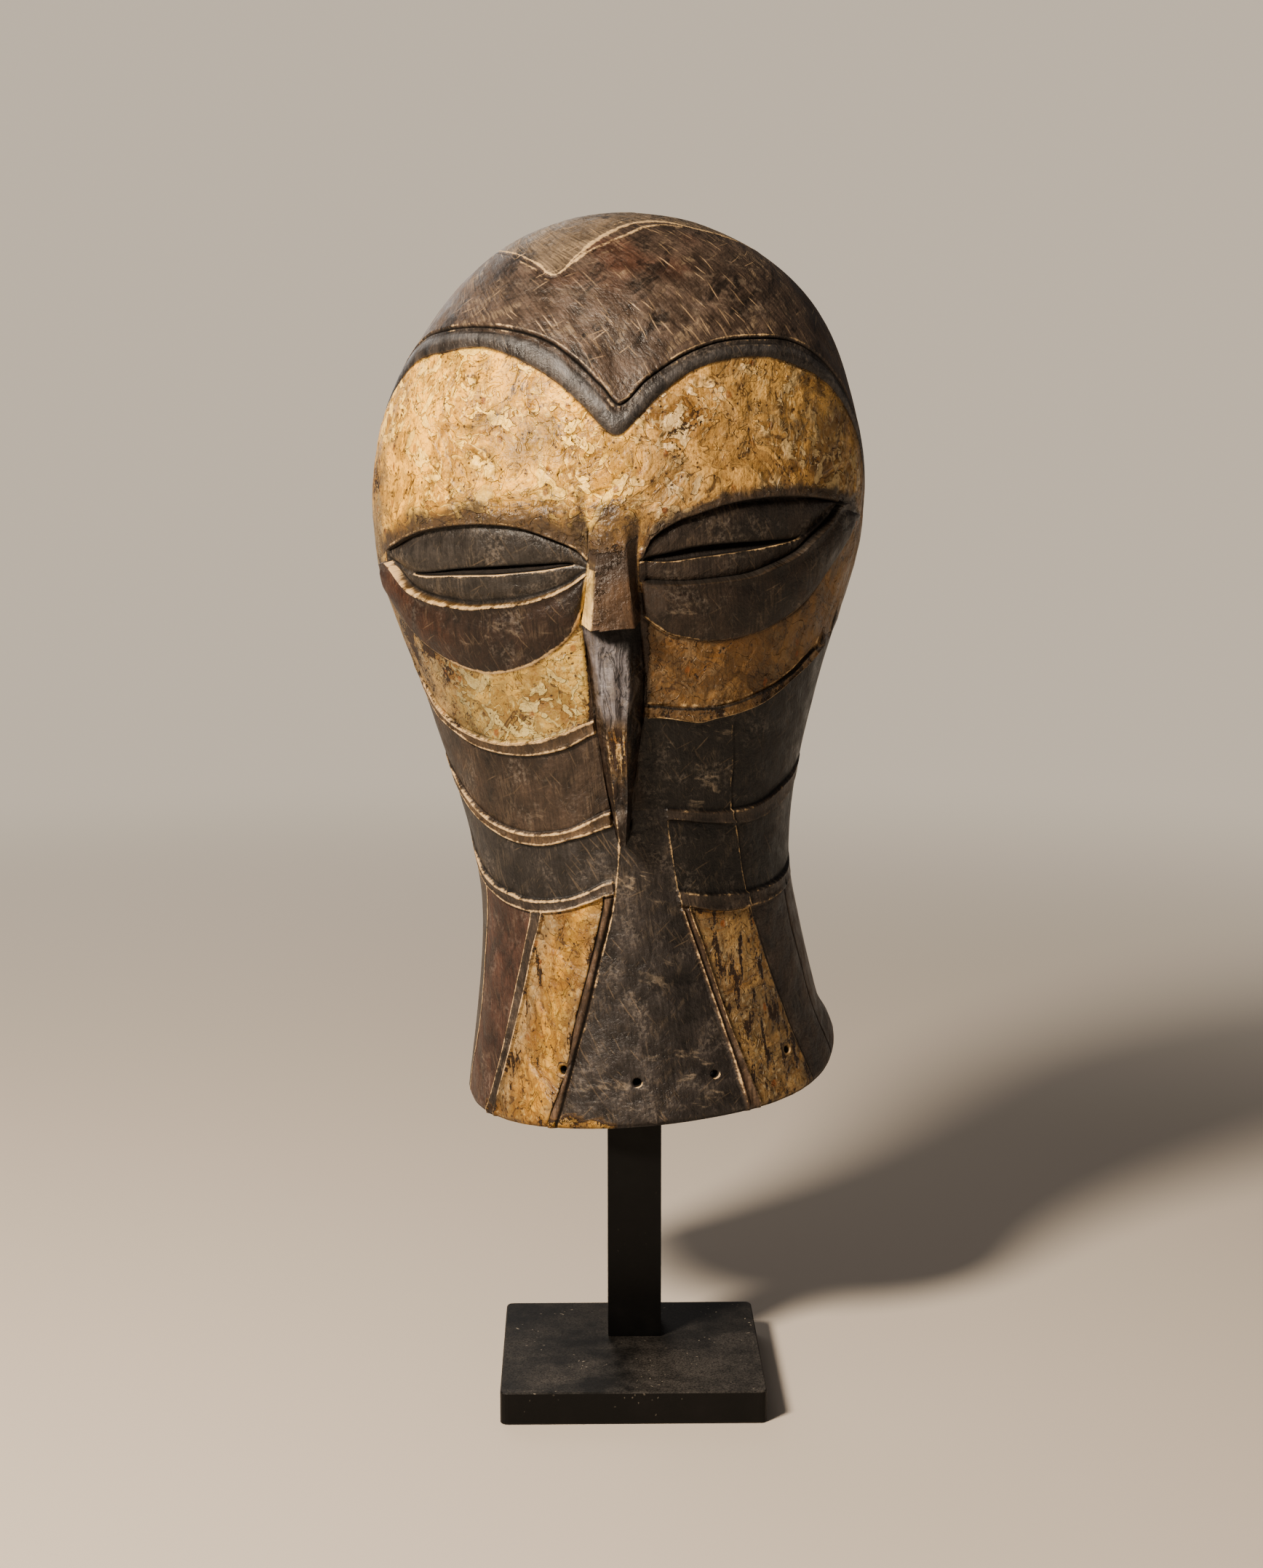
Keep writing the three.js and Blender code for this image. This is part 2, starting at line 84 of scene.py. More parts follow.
def setStudio():
    lens = bpy.data.cameras.new("camera")
    lens.lens = studio["lens"]
    lens.sensor_width = 36.0
    lens.clip_start = 0.05
    camera = bpy.data.objects.new("camera", lens)
    bpy.context.scene.collection.objects.link(camera)
    camera.location = studio["cameraPlace"]
    camera.rotation_euler = (math.radians(90 - studio["cameraDip"]), 0, math.radians(-studio["cameraTurn"]))
    bpy.context.scene.camera = camera
    for name in ("key", "fill", "back"):
        areaLight(name, studio[name])
    world = bpy.data.worlds.new("studio")
    world.use_nodes = True
    tree = world.node_tree
    dim = tree.nodes["Background"]
    dim.inputs["Color"].default_value = (*studio["air"], 1)
    dim.inputs["Strength"].default_value = studio["airStrength"]
    pale = tree.nodes.new("ShaderNodeBackground")
    pale.inputs["Color"].default_value = (*studio["paleAir"], 1)
    rays = tree.nodes.new("ShaderNodeLightPath")
    choice = tree.nodes.new("ShaderNodeMixShader")
    tree.links.new(rays.outputs["Is Camera Ray"], choice.inputs[0])
    tree.links.new(dim.outputs[0], choice.inputs[1])
    tree.links.new(pale.outputs[0], choice.inputs[2])
    tree.links.new(choice.outputs[0], tree.nodes["World Output"].inputs["Surface"])
    bpy.context.scene.world = world
    bpy.context.scene.view_settings.view_transform = "AgX"
    bpy.context.scene.view_settings.look = "AgX - Medium High Contrast"


def makeFloor():
    side = 12.0
    mesh = bpy.data.meshes.new("floor")
    corners = [(-side, -side, 0), (side, -side, 0), (side, side, 0), (-side, side, 0)]
    mesh.from_pydata(corners, [], [(0, 1, 2, 3)])
    floor = bpy.data.objects.new("floor", mesh)
    bpy.context.scene.collection.objects.link(floor)
    paint = bpy.data.materials.new("paleFloor")
    paint.use_nodes = True
    shader = paint.node_tree.nodes["Principled BSDF"]
    shader.inputs["Base Color"].default_value = (*studio["floorColour"], 1)
    shader.inputs["Roughness"].default_value = 0.85
    # far from the object the floor takes the colour of the air, so that no edge shows behind
    nodes, links = paint.node_tree.nodes, paint.node_tree.links
    distance = nodes.new("ShaderNodeVectorMath")
    distance.operation = "LENGTH"
    links.new(nodes.new("ShaderNodeTexCoord").outputs["Object"], distance.inputs[0])
    fade = nodes.new("ShaderNodeMapRange")
    fade.interpolation_type = "SMOOTHSTEP"
    fade.inputs["From Min"].default_value = studio["fadeFrom"]
    fade.inputs["From Max"].default_value = studio["fadeTo"]
    links.new(distance.outputs["Value"], fade.inputs["Value"])
    glow = nodes.new("ShaderNodeEmission")
    glow.inputs["Color"].default_value = (*studio["paleAir"], 1)
    choice = nodes.new("ShaderNodeMixShader")
    links.new(fade.outputs["Result"], choice.inputs[0])
    links.new(shader.outputs[0], choice.inputs[1])
    links.new(glow.outputs[0], choice.inputs[2])
    links.new(choice.outputs[0], nodes["Material Output"].inputs["Surface"])
    mesh.materials.append(paint)


setStudio()
makeFloor()
print("studio set")

# The mask's skin is a bowed sheet. A place on it is an angle across, in degrees (0 is the middle of the
# face, -90 and 90 its side edges), and a height along the skin from the bottom rim, in millimetres.
mask = {
    "place": (10.0, 85.0, 120.5), "roll": math.radians(-3), "wall": 11.5,
    "edge": 90.0, "back": 96.0, "backStrip": 13.0,
    "domeStart": 286.0, "domeRise": 136.6, "domePower": 2.07,
    "halfWidth": [(0, 91.5), (40, 84.3), (75, 78.7), (105, 76.2), (135, 79.3), (165, 86.1), (200, 96.2),
                  (235, 107.9), (260, 115.6), (286, 118.4)],
    "depth": [(0, 94), (50, 89.5), (100, 86.9), (140, 89.7), (180, 94.5), (220, 101), (255, 108),
              (286, 113)],
    "middle": [(0, 2.2), (75, 0.6), (120, -1.8), (165, -2.5), (210, -1.9), (260, -0.6), (300, 1),
               (335, 2.5), (370, 6.4), (400, 6.6), (423, 5)],
    "rim": [(-90, 2), (-50, 0), (-14, 2), (14, 4), (42, 6), (60, 9), (77, 14), (90, 20)],
}
skinTop = mask["domeStart"] + mask["domeRise"] * math.pi / 2

# carved lines that run across, as height by angle, from the crown down to the neck
across = {
    "crown": [(-90, 434), (-76, 435), (-49, 428), (-33, 418), (-23, 408), (-17, 423), (-10, 437),
              (2, 450), (20, 457), (36, 455.5), (46, 448), (62, 437), (82, 425), (90, 420)],
    "browTop": [(-90, 318), (-86, 345), (-75, 370), (-56, 377), (-42, 377), (-29, 373), (-19, 366),
                (-11, 355), (-4, 342), (0, 334), (6, 345), (15, 356), (25, 362), (36, 363), (47, 361),
                (57, 353), (66, 340), (74, 322), (82, 300), (90, 276)],
    "browFoot": [(-90, 296), (-86, 330), (-70, 359), (-54, 365), (-40, 366), (-30, 361), (-21, 353),
                 (-14, 344), (-8, 333), (-1, 320), (5, 330), (10, 339), (17, 348), (27, 353), (38, 353),
                 (48, 348), (59, 339), (67, 328), (74, 312), (82, 290), (90, 266)],
    "lid": [(-84, 262), (-76, 267), (-64, 274), (-52, 280), (-39, 283), (-31, 283), (-23, 281),
            (-16, 276), (-10, 270), (-7, 264), (4.2, 265), (6.2, 273), (11.5, 280), (17, 283.5),
            (24, 287), (33, 288.5), (42, 288), (54, 285), (68, 279), (78, 276)],
    "slit": [(-84, 262), (-69, 266), (-57, 260.5), (-40, 261.5), (-30, 262), (-18, 263), (-11.5, 263.5),
             (-7, 262), (4.2, 264), (10, 264.5), (17, 266), (27, 266.8), (36, 267.3), (44.5, 268.5),
             (52, 275), (59.5, 283.2), (68, 278.8), (78, 275.5)],
    "ledge": [(-84, 261), (-69, 266), (-65, 263), (-59, 254), (-51, 249), (-44, 247), (-38, 246),
              (-33, 246.5), (-25, 247.5), (-17, 251), (-12, 255), (-7, 260), (4.2, 255), (13.6, 253),
              (21.4, 253), (30, 254), (36, 257), (43.5, 262), (48.6, 268), (55.3, 275.5), (59.5, 283),
              (68, 278.5), (78, 275)],
    "bag": [(-84, 258), (-74.5, 248), (-67, 235), (-55, 223), (-44, 216.5), (-36, 215), (-26, 218),
            (-17, 226), (-12, 234), (-9.4, 244), (-7, 258), (4.2, 240), (10.4, 231), (14.5, 228.5),
            (21, 226), (27.7, 226), (37.4, 228.5), (45, 234), (50.3, 239), (57.8, 253), (64.5, 264),
            (69, 271), (78, 274)],
    "noseFoot": [(-40, 206), (-22, 216), (-13, 233), (-10, 237), (8, 237), (12, 226), (24, 214),
                 (40, 216)],
    "ring1Top": [(-80, 217), (-71, 200), (-60, 190), (-50, 185), (-41, 182.5), (-34, 182.5), (-26, 184),
                 (-19, 187), (-9, 193), (6, 198), (14, 196), (21, 195), (29, 195), (38, 198), (45, 201),
                 (52, 206), (58, 212), (70, 223), (84, 236)],
    "ring1Foot": [(-80, 207), (-71, 194), (-60, 186), (-51, 180.5), (-43, 178), (-36, 177), (-30, 177),
                  (-23, 178.5), (-17, 181), (-9, 187), (6, 193), (21, 189), (26, 190), (32, 191),
                  (41, 194), (47, 198), (54, 204), (70, 216), (84, 229)],
    "ring2Top": [(-84, 171), (-78, 165), (-71, 157), (-65, 151), (-54.5, 144), (-45.5, 140.5),
                 (-37.5, 139), (-30, 139.5), (-21, 141.5), (-15, 145), (-6, 150), (11, 149.5),
                 (22, 147), (29, 145.5), (34.5, 145), (43.5, 145), (52, 147), (61, 151), (78, 158),
                 (84, 161)],
    "ring2Foot": [(-84, 163), (-78, 157), (-64, 145), (-53, 139), (-45, 135.5), (-36, 134),
                  (-29, 134.5), (-22, 137), (-15, 139.5), (-6, 143.5), (11, 145), (26, 141.5),
                  (35, 139.5), (43, 138.5), (51, 139.5), (64, 144), (75, 150), (84, 155)],
    "beakFoot": [(-40, 124), (-20, 130), (-8, 137), (3, 137), (20, 132), (40, 128)],
    "ring3Top": [(-84, 133), (-78, 125), (-71, 117), (-62, 111.5), (-52, 109), (-43.5, 107), (-36, 107),
                 (-25, 109), (-18, 112), (-8, 117), (14, 111), (22, 108), (31.5, 106), (42, 104.5),
                 (51, 104.5), (64, 106), (77, 109), (86, 112)],
    "ring3Foot": [(-84, 125), (-70, 111), (-60, 106), (-51, 103), (-41, 101.5), (-33, 102), (-25, 104),
                  (-18, 107), (-8, 111), (14, 104.5), (23, 101), (32, 98.5), (43, 98), (52, 98),
                  (66, 100), (86, 104)],
}
# carved lines that run up, as angle by height; above their own end they only guide the mesh
upward = {
    "sideEdge": [(0, -84), (12, -83), (23, -81), (49, -77), (78, -77), (110, -71), (150, -75),
                 (210, -78.3), (500, -78.3)],
    "stripALeft": [(0, -62.5), (6, -61), (29, -56), (52, -52), (69, -49), (86, -45), (106, -41),
                   (150, -45), (220, -55), (500, -55)],
    "stripARight": [(0, -57.5), (8, -56), (38, -50), (69, -44), (83, -41), (97, -37), (106, -35.5),
                    (150, -38), (220, -49), (500, -49)],
    "stripBLeft": [(0, -35), (4, -34), (18, -30.4), (32, -27.5), (51, -25), (70, -21), (89, -16.5),
                   (109, -12), (135, -9.6), (180, -14), (230, -16.5), (500, -16.5)],
    "stripBRight": [(0, -31), (9, -29), (23, -26.7), (38, -24), (52, -21), (66, -18.3), (82, -15),
                    (96, -11.4), (109, -8.4), (137, -4.8), (147, -6), (160, -7), (176, -7.9),
                    (193, -8.7), (217, -9.3), (237, -10), (248, -9.1), (267, -7.3), (292, -7.4),
                    (340, -7), (500, -8)],
    "frontLeft": [(0, -14), (60, -10.5), (109, -5.4), (137, -3.6), (158, -4.2), (185, -4.9),
                  (207, -6.2), (237, -7.2), (248, -6.6), (267, -5.5), (292, -3.4), (340, -2.8),
                  (500, -3.2)],
    "frontRight": [(0, 4), (60, 2.2), (109, -1), (137, -2.1), (158, -0.8), (185, -0.3), (206, 0.5),
                   (237, 2.2), (251, 1.5), (265, 0.9), (292, 0.2), (340, 1.2), (500, 1.8)],
    "beakRight": [(0, 16), (60, 10.5), (109, 4), (137, -1.2), (153, 0.4), (174, 2.9), (190, 4.4),
                  (211, 5), (237, 3.75), (267, 2.9), (292, 4.4), (340, 5), (500, 5.5)],
    "stripCLeft": [(0, 27.5), (5, 27.3), (26, 25.6), (44, 23.5), (66, 20.3), (87, 17), (103, 14.8),
                   (116, 13.7), (130, 12.5), (144, 11.5), (190, 12.5), (240, 14), (500, 15)],
    "stripCRight": [(0, 32.6), (7, 32), (15, 30.8), (32, 28.6), (48, 26), (69, 23), (87, 20.4),
                    (103, 18), (144, 17.6), (200, 20), (500, 22)],
    "scored": [(0, 57), (8, 55.5), (28, 53), (45, 50.5), (60, 48), (74, 45.8), (89, 44), (104, 42.4),
               (121, 40), (137, 37.7), (142, 35.6), (157, 34), (166, 34), (189, 32.2), (230, 40),
               (290, 52), (500, 52)],
    "sideCrease": [(0, 75), (16, 74), (31, 73), (51, 70.5), (66, 70), (80, 68.4), (101, 68.5),
                   (140, 70), (220, 74), (500, 74)],
}
crownLower = [(-22, 409), (-13, 425), (1, 438), (16, 448.5), (30, 451), (40, 448)]
nose = {"foot": 237, "head": 292, "proud": [(237, 13), (267, 5), (292, 0.1)],
        "left": [(237, -10), (248, -9.1), (257, -8.3), (267, -7.3), (292, -7.4)],
        "right": [(237, 3.9), (267, 2.9), (292, 4.4)],
        "flatLeft": [(237, -7.2), (248, -6.6), (267, -5.5), (292, -3.4)],
        "flatRight": [(237, 2.2), (251, 1.5), (265, 0.9), (292, 0.2)]}
beak = {"foot": 137, "head": 237,
        "proud": [(137, 17), (159, 16.5), (180, 15), (207, 12), (225, 8.6), (237, 5.6)],
        "left": [(137, -4.8), (147, -6), (160, -7), (176, -7.9), (193, -8.7), (217, -9.3), (237, -9.8)],
        "right": [(137, -1.2), (153, 0.4), (174, 2.9), (190, 4.4), (211, 5), (237, 3.6)],
        "flatLeft": [(137, -3.6), (158, -4.2), (185, -4.9), (207, -6.2), (237, -6.8)],
        "flatRight": [(137, -2.1), (158, -0.8), (185, -0.3), (206, 0.5), (237, 1.5)]}
eyes = [
    {"bagFrom": -83, "bagTo": -7.5, "hollowFrom": -68.5, "hollowTo": -7.4, "slitFrom": -57, "slitTo": -11.4,
     "slitHeight": 3.6, "slitSkew": 1.35, "slitTaper": 0.6, "step": 2.6},
    {"bagFrom": 4.6, "bagTo": 77, "hollowFrom": 4.6, "hollowTo": 59.5, "slitFrom": 4.8, "slitTo": 44.5,
     "slitHeight": 4.8, "slitSkew": 0.64, "slitTaper": 1.1, "step": 3.8},
]
slitRise = 9.0      # how much higher a slit lies at the inside of the wall
slitLip = {"in": 1.3, "up": 0.6, "light": -1.4}     # the lip just inside, painted dark as the slit's shade; the light line ends before it
rings = {"ring1": [(-80, -9), (6, 84)], "ring2": [(-84, -6.5), (11.5, 84)], "ring3": [(-84, -8), (14, 86)]}
rimHoles = {
    "places": [(-29.2, 28), (-5.3, 22), (19, 22), (47.7, 25)], "radius": 2.0, "lip": 0.7, "margin": 0.7,
    # each circle round a hole: radius, how far sunk, how bright the painted highlight on its lower right is,
    # how dark its painted shade is
    "circles": [(3.0, 0.0, 0.0, 0.0), (2.6, 0.12, 1.3, 0.0), (2.1, 0.6, 0.6, 0.2), (1.9, 1.6, 0.0, 1.0)],
    "lightFrom": 50,        # degrees below the right, where the painted highlight shows
}


def smoothCurve(points):
    # a smooth curve through a few points, and its slope
    x, y = np.array(points, float).T
    slopes = np.empty_like(y)
    slopes[1:-1] = (y[2:] - y[:-2]) / (x[2:] - x[:-2])
    slopes[0] = (y[1] - y[0]) / (x[1] - x[0])
    slopes[-1] = (y[-1] - y[-2]) / (x[-1] - x[-2])

    def value(at):
        at = np.clip(at, x[0], x[-1])
        i = np.clip(np.searchsorted(x, at, side="right") - 1, 0, len(x) - 2)
        span = x[i + 1] - x[i]
        t = (at - x[i]) / span
        a = 2 * t ** 3 - 3 * t ** 2 + 1
        b = t ** 3 - 2 * t ** 2 + t
        c = t ** 3 - t ** 2
        return a * y[i] + (1 - a) * y[i + 1] + span * (b * slopes[i] + c * slopes[i + 1])
    return value


halfWidth = smoothCurve(mask["halfWidth"])
depth = smoothCurve(mask["depth"])
middle = smoothCurve(mask["middle"])
rim = smoothCurve(mask["rim"])
acrossLine = {name: smoothCurve(points) for name, points in across.items()}
upLine = {name: smoothCurve(points) for name, points in upward.items()}


def smoothStep(value, low, high):
    t = np.clip((value - low) / (high - low), 0, 1)
    return t * t * (3 - 2 * t)


def sheet(angle, along, inset=0.0):
    # the bowed sheet itself, set in by the given depth
    dome = np.sin(np.clip((along - mask["domeStart"]) / mask["domeRise"], 0, math.pi / 2))
    dome = np.where(along > skinTop - 1e-6, 1.0, dome)
    z = np.minimum(along, mask["domeStart"]) + (mask["domeRise"] - inset) * dome
    power = mask["domePower"]
    narrow = np.clip(1 - dome ** power, 0, 1) ** (1 / power)
    shape = np.minimum(z, mask["domeStart"])
    turn = np.radians(np.clip(angle, -mask["edge"], mask["edge"]))
    x = middle(z) + (halfWidth(shape) - inset) * narrow * np.sin(turn)
    beyond = np.maximum(0, np.abs(angle) - mask["edge"]) / (mask["back"] - mask["edge"])
    y = np.where(beyond > 0, mask["backStrip"] * beyond, -(depth(shape) - inset) * narrow * np.cos(turn))
    low = np.clip(1 - along / 45, 0, 1)
    z = z + rim(angle) * low * low * (3 - 2 * low)
    return np.stack([x, y, z], -1)


# the way along the surface from the middle of the face, for a net of angles and heights
arcAngles = np.linspace(-mask["back"], mask["back"], 193)
arcHeights = np.linspace(0, skinTop, 151)
arcSpan = np.linalg.norm(np.diff(sheet(arcAngles[None, :], arcHeights[:, None]), axis=1), axis=-1)
arcTable = np.concatenate([np.zeros((len(arcHeights), 1)), np.cumsum(arcSpan, 1)], 1)
arcTable = arcTable - arcTable[:, [len(arcAngles) // 2]]


def skinPlace(angle, along):
    # the way along the surface from the middle of the face, and the height, in metres, for flat patterns
    row = np.clip(along / arcHeights[1], 0, len(arcHeights) - 1.001)
    column = np.clip((angle - arcAngles[0]) / (arcAngles[1] - arcAngles[0]), 0, len(arcAngles) - 1.001)
    r, c = row.astype(int), column.astype(int)
    u, v = row - r, column - c
    arc = (arcTable[r, c] * (1 - u) * (1 - v) + arcTable[r + 1, c] * u * (1 - v)
           + arcTable[r, c + 1] * (1 - u) * v + arcTable[r + 1, c + 1] * u * v)
    return np.stack([arc, along, np.zeros_like(arc)], -1) * 0.001


def outward(angle, along):
    a = np.clip(angle, -89.5, 89.5)
    s = np.clip(along, 0, skinTop - 4)
    wide = sheet(a + 0.3, s) - sheet(a - 0.3, s)
    tall = sheet(a, s + 0.5) - sheet(a, np.maximum(0, s - 0.5))
    normal = np.cross(wide, tall)
    return normal / np.linalg.norm(normal, axis=-1, keepdims=True)


def worldPlace(points):
    # from the mask's own millimetres to metres on the stand
    x, y, z = points[..., 0], points[..., 1], points[..., 2]
    roll = -mask["roll"]
    place = mask["place"]
    world = np.stack([place[0] + x * math.cos(roll) - z * math.sin(roll), place[1] + y,
                      place[2] + x * math.sin(roll) + z * math.cos(roll)], -1)
    return world * 0.001


def worldDirection(angle, along):
    # the way out of the skin, in the world's own directions
    return (worldPlace(outward(angle, along)) - worldPlace(np.zeros(3))) * 1000


def unevenness(points, size, seed):
    # gentle noise from -1 to 1 over places in metres, with lumps of the given size in millimetres
    scale = 1000.0 / size
    shift = Vector((seed * 7.3, seed * 3.1, seed * 5.7))
    flat = points.reshape(-1, 3)
    values = [noise.noise(Vector(p) * scale + shift) for p in flat]
    return np.array(values).reshape(points.shape[:-1])


def millimetresPerDegree(angle, along):
    a = np.clip(angle, -89.5, 89.5)
    s = np.minimum(along, skinTop - 6)
    return np.linalg.norm(sheet(a + 0.5, s) - sheet(a - 0.5, s), axis=-1)


class Carving:
    # everything that is known about places on the skin: distances from the carved lines, height and colour
    def __init__(self, angle, along):
        self.angle = angle
        self.along = along
        self.perDegree = np.maximum(0.2, millimetresPerDegree(angle, along))
        self.heightOf = {name: line(angle) for name, line in acrossLine.items()}

    def above(self, name, points=None):
        # distance above a line that runs across, in millimetres
        line = smoothCurve(points) if points else acrossLine[name]
        slope = (line(self.angle + 0.4) - line(self.angle - 0.4)) / 0.8 / self.perDegree
        return (self.along - line(self.angle)) / np.sqrt(1 + slope ** 2)

    def rightOf(self, name):
        # distance to the right of a line that runs up, in millimetres
        line = upLine[name]
        slope = (line(self.along + 0.5) - line(self.along - 0.5)) * self.perDegree
        return (self.angle - line(self.along)) * self.perDegree / np.sqrt(1 + slope ** 2)


def between(value, low, high):
    return (value >= low) & (value <= high)


def slitHalf(angle):
    # half the height of the eye slits, which run out thin at their far ends
    half = np.full_like(angle, 0.25)
    for eye in eyes:
        t = np.clip((angle - eye["slitFrom"]) / (eye["slitTo"] - eye["slitFrom"]), 0, 1)
        inside = between(angle, eye["slitFrom"], eye["slitTo"])
        lens = np.sin(math.pi * (0.03 + 0.93 * t ** eye["slitSkew"])) ** eye["slitTaper"]
        half = np.where(inside, eye["slitHeight"] / 2 * np.maximum(0.12, lens), half)
    return half


# how proud each form stands, in millimetres, at parts of the way across it. That of the forehead's edge is
# given at millimetres above the brow
profiles = {
    "bead": ([-0.001, 0, 0.12, 0.3, 0.55, 0.74, 0.8, 0.86, 0.97, 1],
             [0, 0.4, 1.3, 2.1, 2.3, 1.9, 1.2, 1.6, 1.3, -0.4]),
    "foreheadEdge": ([0, 0.7, 1.8, 9, 20], [0.4, 1.7, 1.9, 1.4, 0]),
    "ring": ([-0.12, 0, 0.14, 0.3, 0.5, 0.7, 0.86, 1, 1.12], [0, 1.5, 1.7, 1.2, 1.35, 1.2, 1.7, 1.5, 0]),
    "stripA": ([0, 0.12, 0.3, 0.7, 0.88, 1], [1.1, 1.7, 0.7, 0.7, 1.7, 1.1]),
    "stripB": ([0, 0.15, 0.3, 0.5, 0.7, 0.85, 1], [-0.3, 1.1, 1.9, 2.1, 1.9, 1.1, -0.2]),
    "stripC": ([0, 0.15, 0.35, 0.65, 0.85, 1], [1.1, 1.8, 0.6, 0.6, 1.8, 1.1]),
    "bag": ([0, 0.05, 0.14, 0.45, 0.75, 0.86, 0.93, 0.985, 1], [0.4, 1.3, 1.9, 3.4, 3.0, 2.0, 2.3, 2.7, 1.6]),
    "lowLid": ([0, 0.06, 0.3, 0.75, 0.85, 1], [-1.5, -2.0, -1.5, -1.3, -1.4, -2.6]),
}
stripHead = {"stripA": 105.0, "stripB": 109.0, "stripC": 102.0}     # the heights at which the strips end


def heights(carving):
    # how far the carving stands proud of the skin, in millimetres
    angle, along = carving.angle, carving.along
    lineAt = carving.heightOf
    fade = np.clip((87 - np.abs(angle)) / 18, 0, 1)
    proud = np.zeros_like(angle)

    def profile(name, part):
        return np.interp(part, *profiles[name])

    # brow bead, and the crisp edge of the forehead panel above it
    part = (along - lineAt["browFoot"]) / (lineAt["browTop"] - lineAt["browFoot"])
    proud = np.where(between(part, 0, 1), profile("bead", part) * fade, proud)
    up = along - lineAt["browTop"]
    onEdge = between(up, 0, 20) & (np.abs(angle) < 88)
    proud = np.where(onEdge, profile("foreheadEdge", up) * fade, proud)
    # rings and strips
    for name, spans in rings.items():
        top, foot = lineAt[name + "Top"], lineAt[name + "Foot"]
        part = (along - foot) / (top - foot)
        band = profile("ring", part) * fade
        for low, high in spans:
            inside = between(angle, low, high) & between(part, -0.12, 1.12)
            proud = np.where(inside, np.maximum(proud, band), proud)
    for name, head in stripHead.items():
        left, right = upLine[name + "Left"](along), upLine[name + "Right"](along)
        part = (angle - left) / (right - left)
        proud = np.where(between(part, 0, 1) & (along < head), profile(name, part), proud)
    # bags, and the hollows that hold the lids
    for eye in eyes:
        bagSpan = between(angle, eye["bagFrom"], eye["bagTo"])
        foot, top = lineAt["bag"], lineAt["ledge"]
        full = np.clip((top - foot) / 14, 0, 1) * smoothStep(np.abs(angle), 82, 72)
        part = (along - foot) / np.maximum(1, top - foot)
        proud = np.where(bagSpan & between(part, 0, 1), profile("bag", part) * full, proud)
        hollowSpan = between(angle, eye["hollowFrom"], eye["hollowTo"])
        foot, top = lineAt["ledge"], lineAt["lid"]
        line = np.minimum(top - 0.2, np.maximum(foot + 0.2, lineAt["slit"]))
        deep = np.clip((top - foot) / 12, 0, 1)
        lower = np.clip((along - foot) / np.maximum(0.3, line - foot), 0, 1)
        upper = np.clip((along - line) / np.maximum(0.3, top - line), 0, 1)
        highLid = np.interp(upper, [0, 0.2, 0.5, 0.8, 0.96, 1],
                            [-2.6, -1.7, -1.1, -1.5, -eye["step"], -eye["step"] * 0.5])
        hollow = np.where(along < line, profile("lowLid", lower), highLid) * deep - 0.1
        proud = np.where(hollowSpan & between(along, foot + 0.01, top - 0.01), hollow, proud)
    # the beak, and the nose that ends in a ledge above it
    for wedge in (beak, nose):
        left, right, flatLeft, flatRight, rise = (
            smoothCurve(wedge[name])(along) for name in ("left", "right", "flatLeft", "flatRight", "proud"))
        slope = np.where(angle > flatRight, (right - angle) / (right - flatRight), 1.0)
        slope = np.where(angle < flatLeft, (angle - left) / (flatLeft - left), slope)
        rise = np.clip(slope, 0, 1) * rise
        if wedge is beak:
            rise = rise * smoothStep(along, wedge["foot"] - 0.4, wedge["foot"] + 0.3)
            inside = between(along, wedge["foot"] - 1, wedge["head"] - 0.01)
        else:
            inside = between(along, wedge["foot"] - 0.01, wedge["head"])
        proud = np.where(inside & (rise > 0), np.maximum(proud, rise), proud)
    return proud


# worn light lines and dark grooves that run across: line, distance above it, width, strength, and the angles
# that it shows between
lightAcross = [("crown", 0, 1.3, 0.95, -180, -16), ("crown", 0, 2.8, 0.95, -16, 70),
               ("crown", 0, 1.3, 0.95, 70, 180), ("crown", 5.0, 1.3, 0.7, -14, 54),
               ("crown", -3.4, 1.1, 0.6, -76, -24), ("browTop", 1.4, 0.9, 0.62, -180, 180),
               ("browTop", -1.5, 0.8, 0.55, -180, 180), ("browTop", -4.3, 0.7, 0.4, -180, 180)]
darkAcross = [("crown", -1.9, 1.2, 0.5, -180, -22), ("browTop", 0, 0.9, 0.9, -180, 180),
              ("browTop", -3.2, 0.8, 0.75, -180, 180), ("browFoot", -0.2, 1.1, 0.6, -180, 180)]
# those that run up: line, distance to the right of it, width, strength, and the height up to which it shows
toRing = 500        # stands for the foot of the lowest ring, which isn't level
lightUp = [("sideEdge", 0, 0.9, 0.9, 112), ("stripALeft", 0.5, 0.9, 0.8, toRing),
           ("stripARight", -0.5, 0.9, 0.74, toRing), ("stripBRight", 0.5, 1.0, 0.8, 137),
           ("stripCLeft", 0.4, 0.9, 0.66, 144), ("stripCRight", -0.4, 0.9, 0.8, toRing),
           ("sideCrease", 1.1, 0.7, 0.4, 104)]
darkUp = [("sideEdge", 1.4, 0.8, 0.6, 112), ("stripALeft", 1.8, 0.7, 0.5, toRing),
          ("stripBLeft", 0.3, 0.9, 0.95, toRing), ("stripBRight", -0.6, 0.9, 0.9, toRing),
          ("stripCLeft", 1.7, 0.7, 0.6, toRing), ("stripCRight", 0.7, 0.7, 0.6, toRing),
          ("scored", 1.1, 0.8, 0.8, 189), ("sideCrease", 0, 0.9, 0.9, 104)]
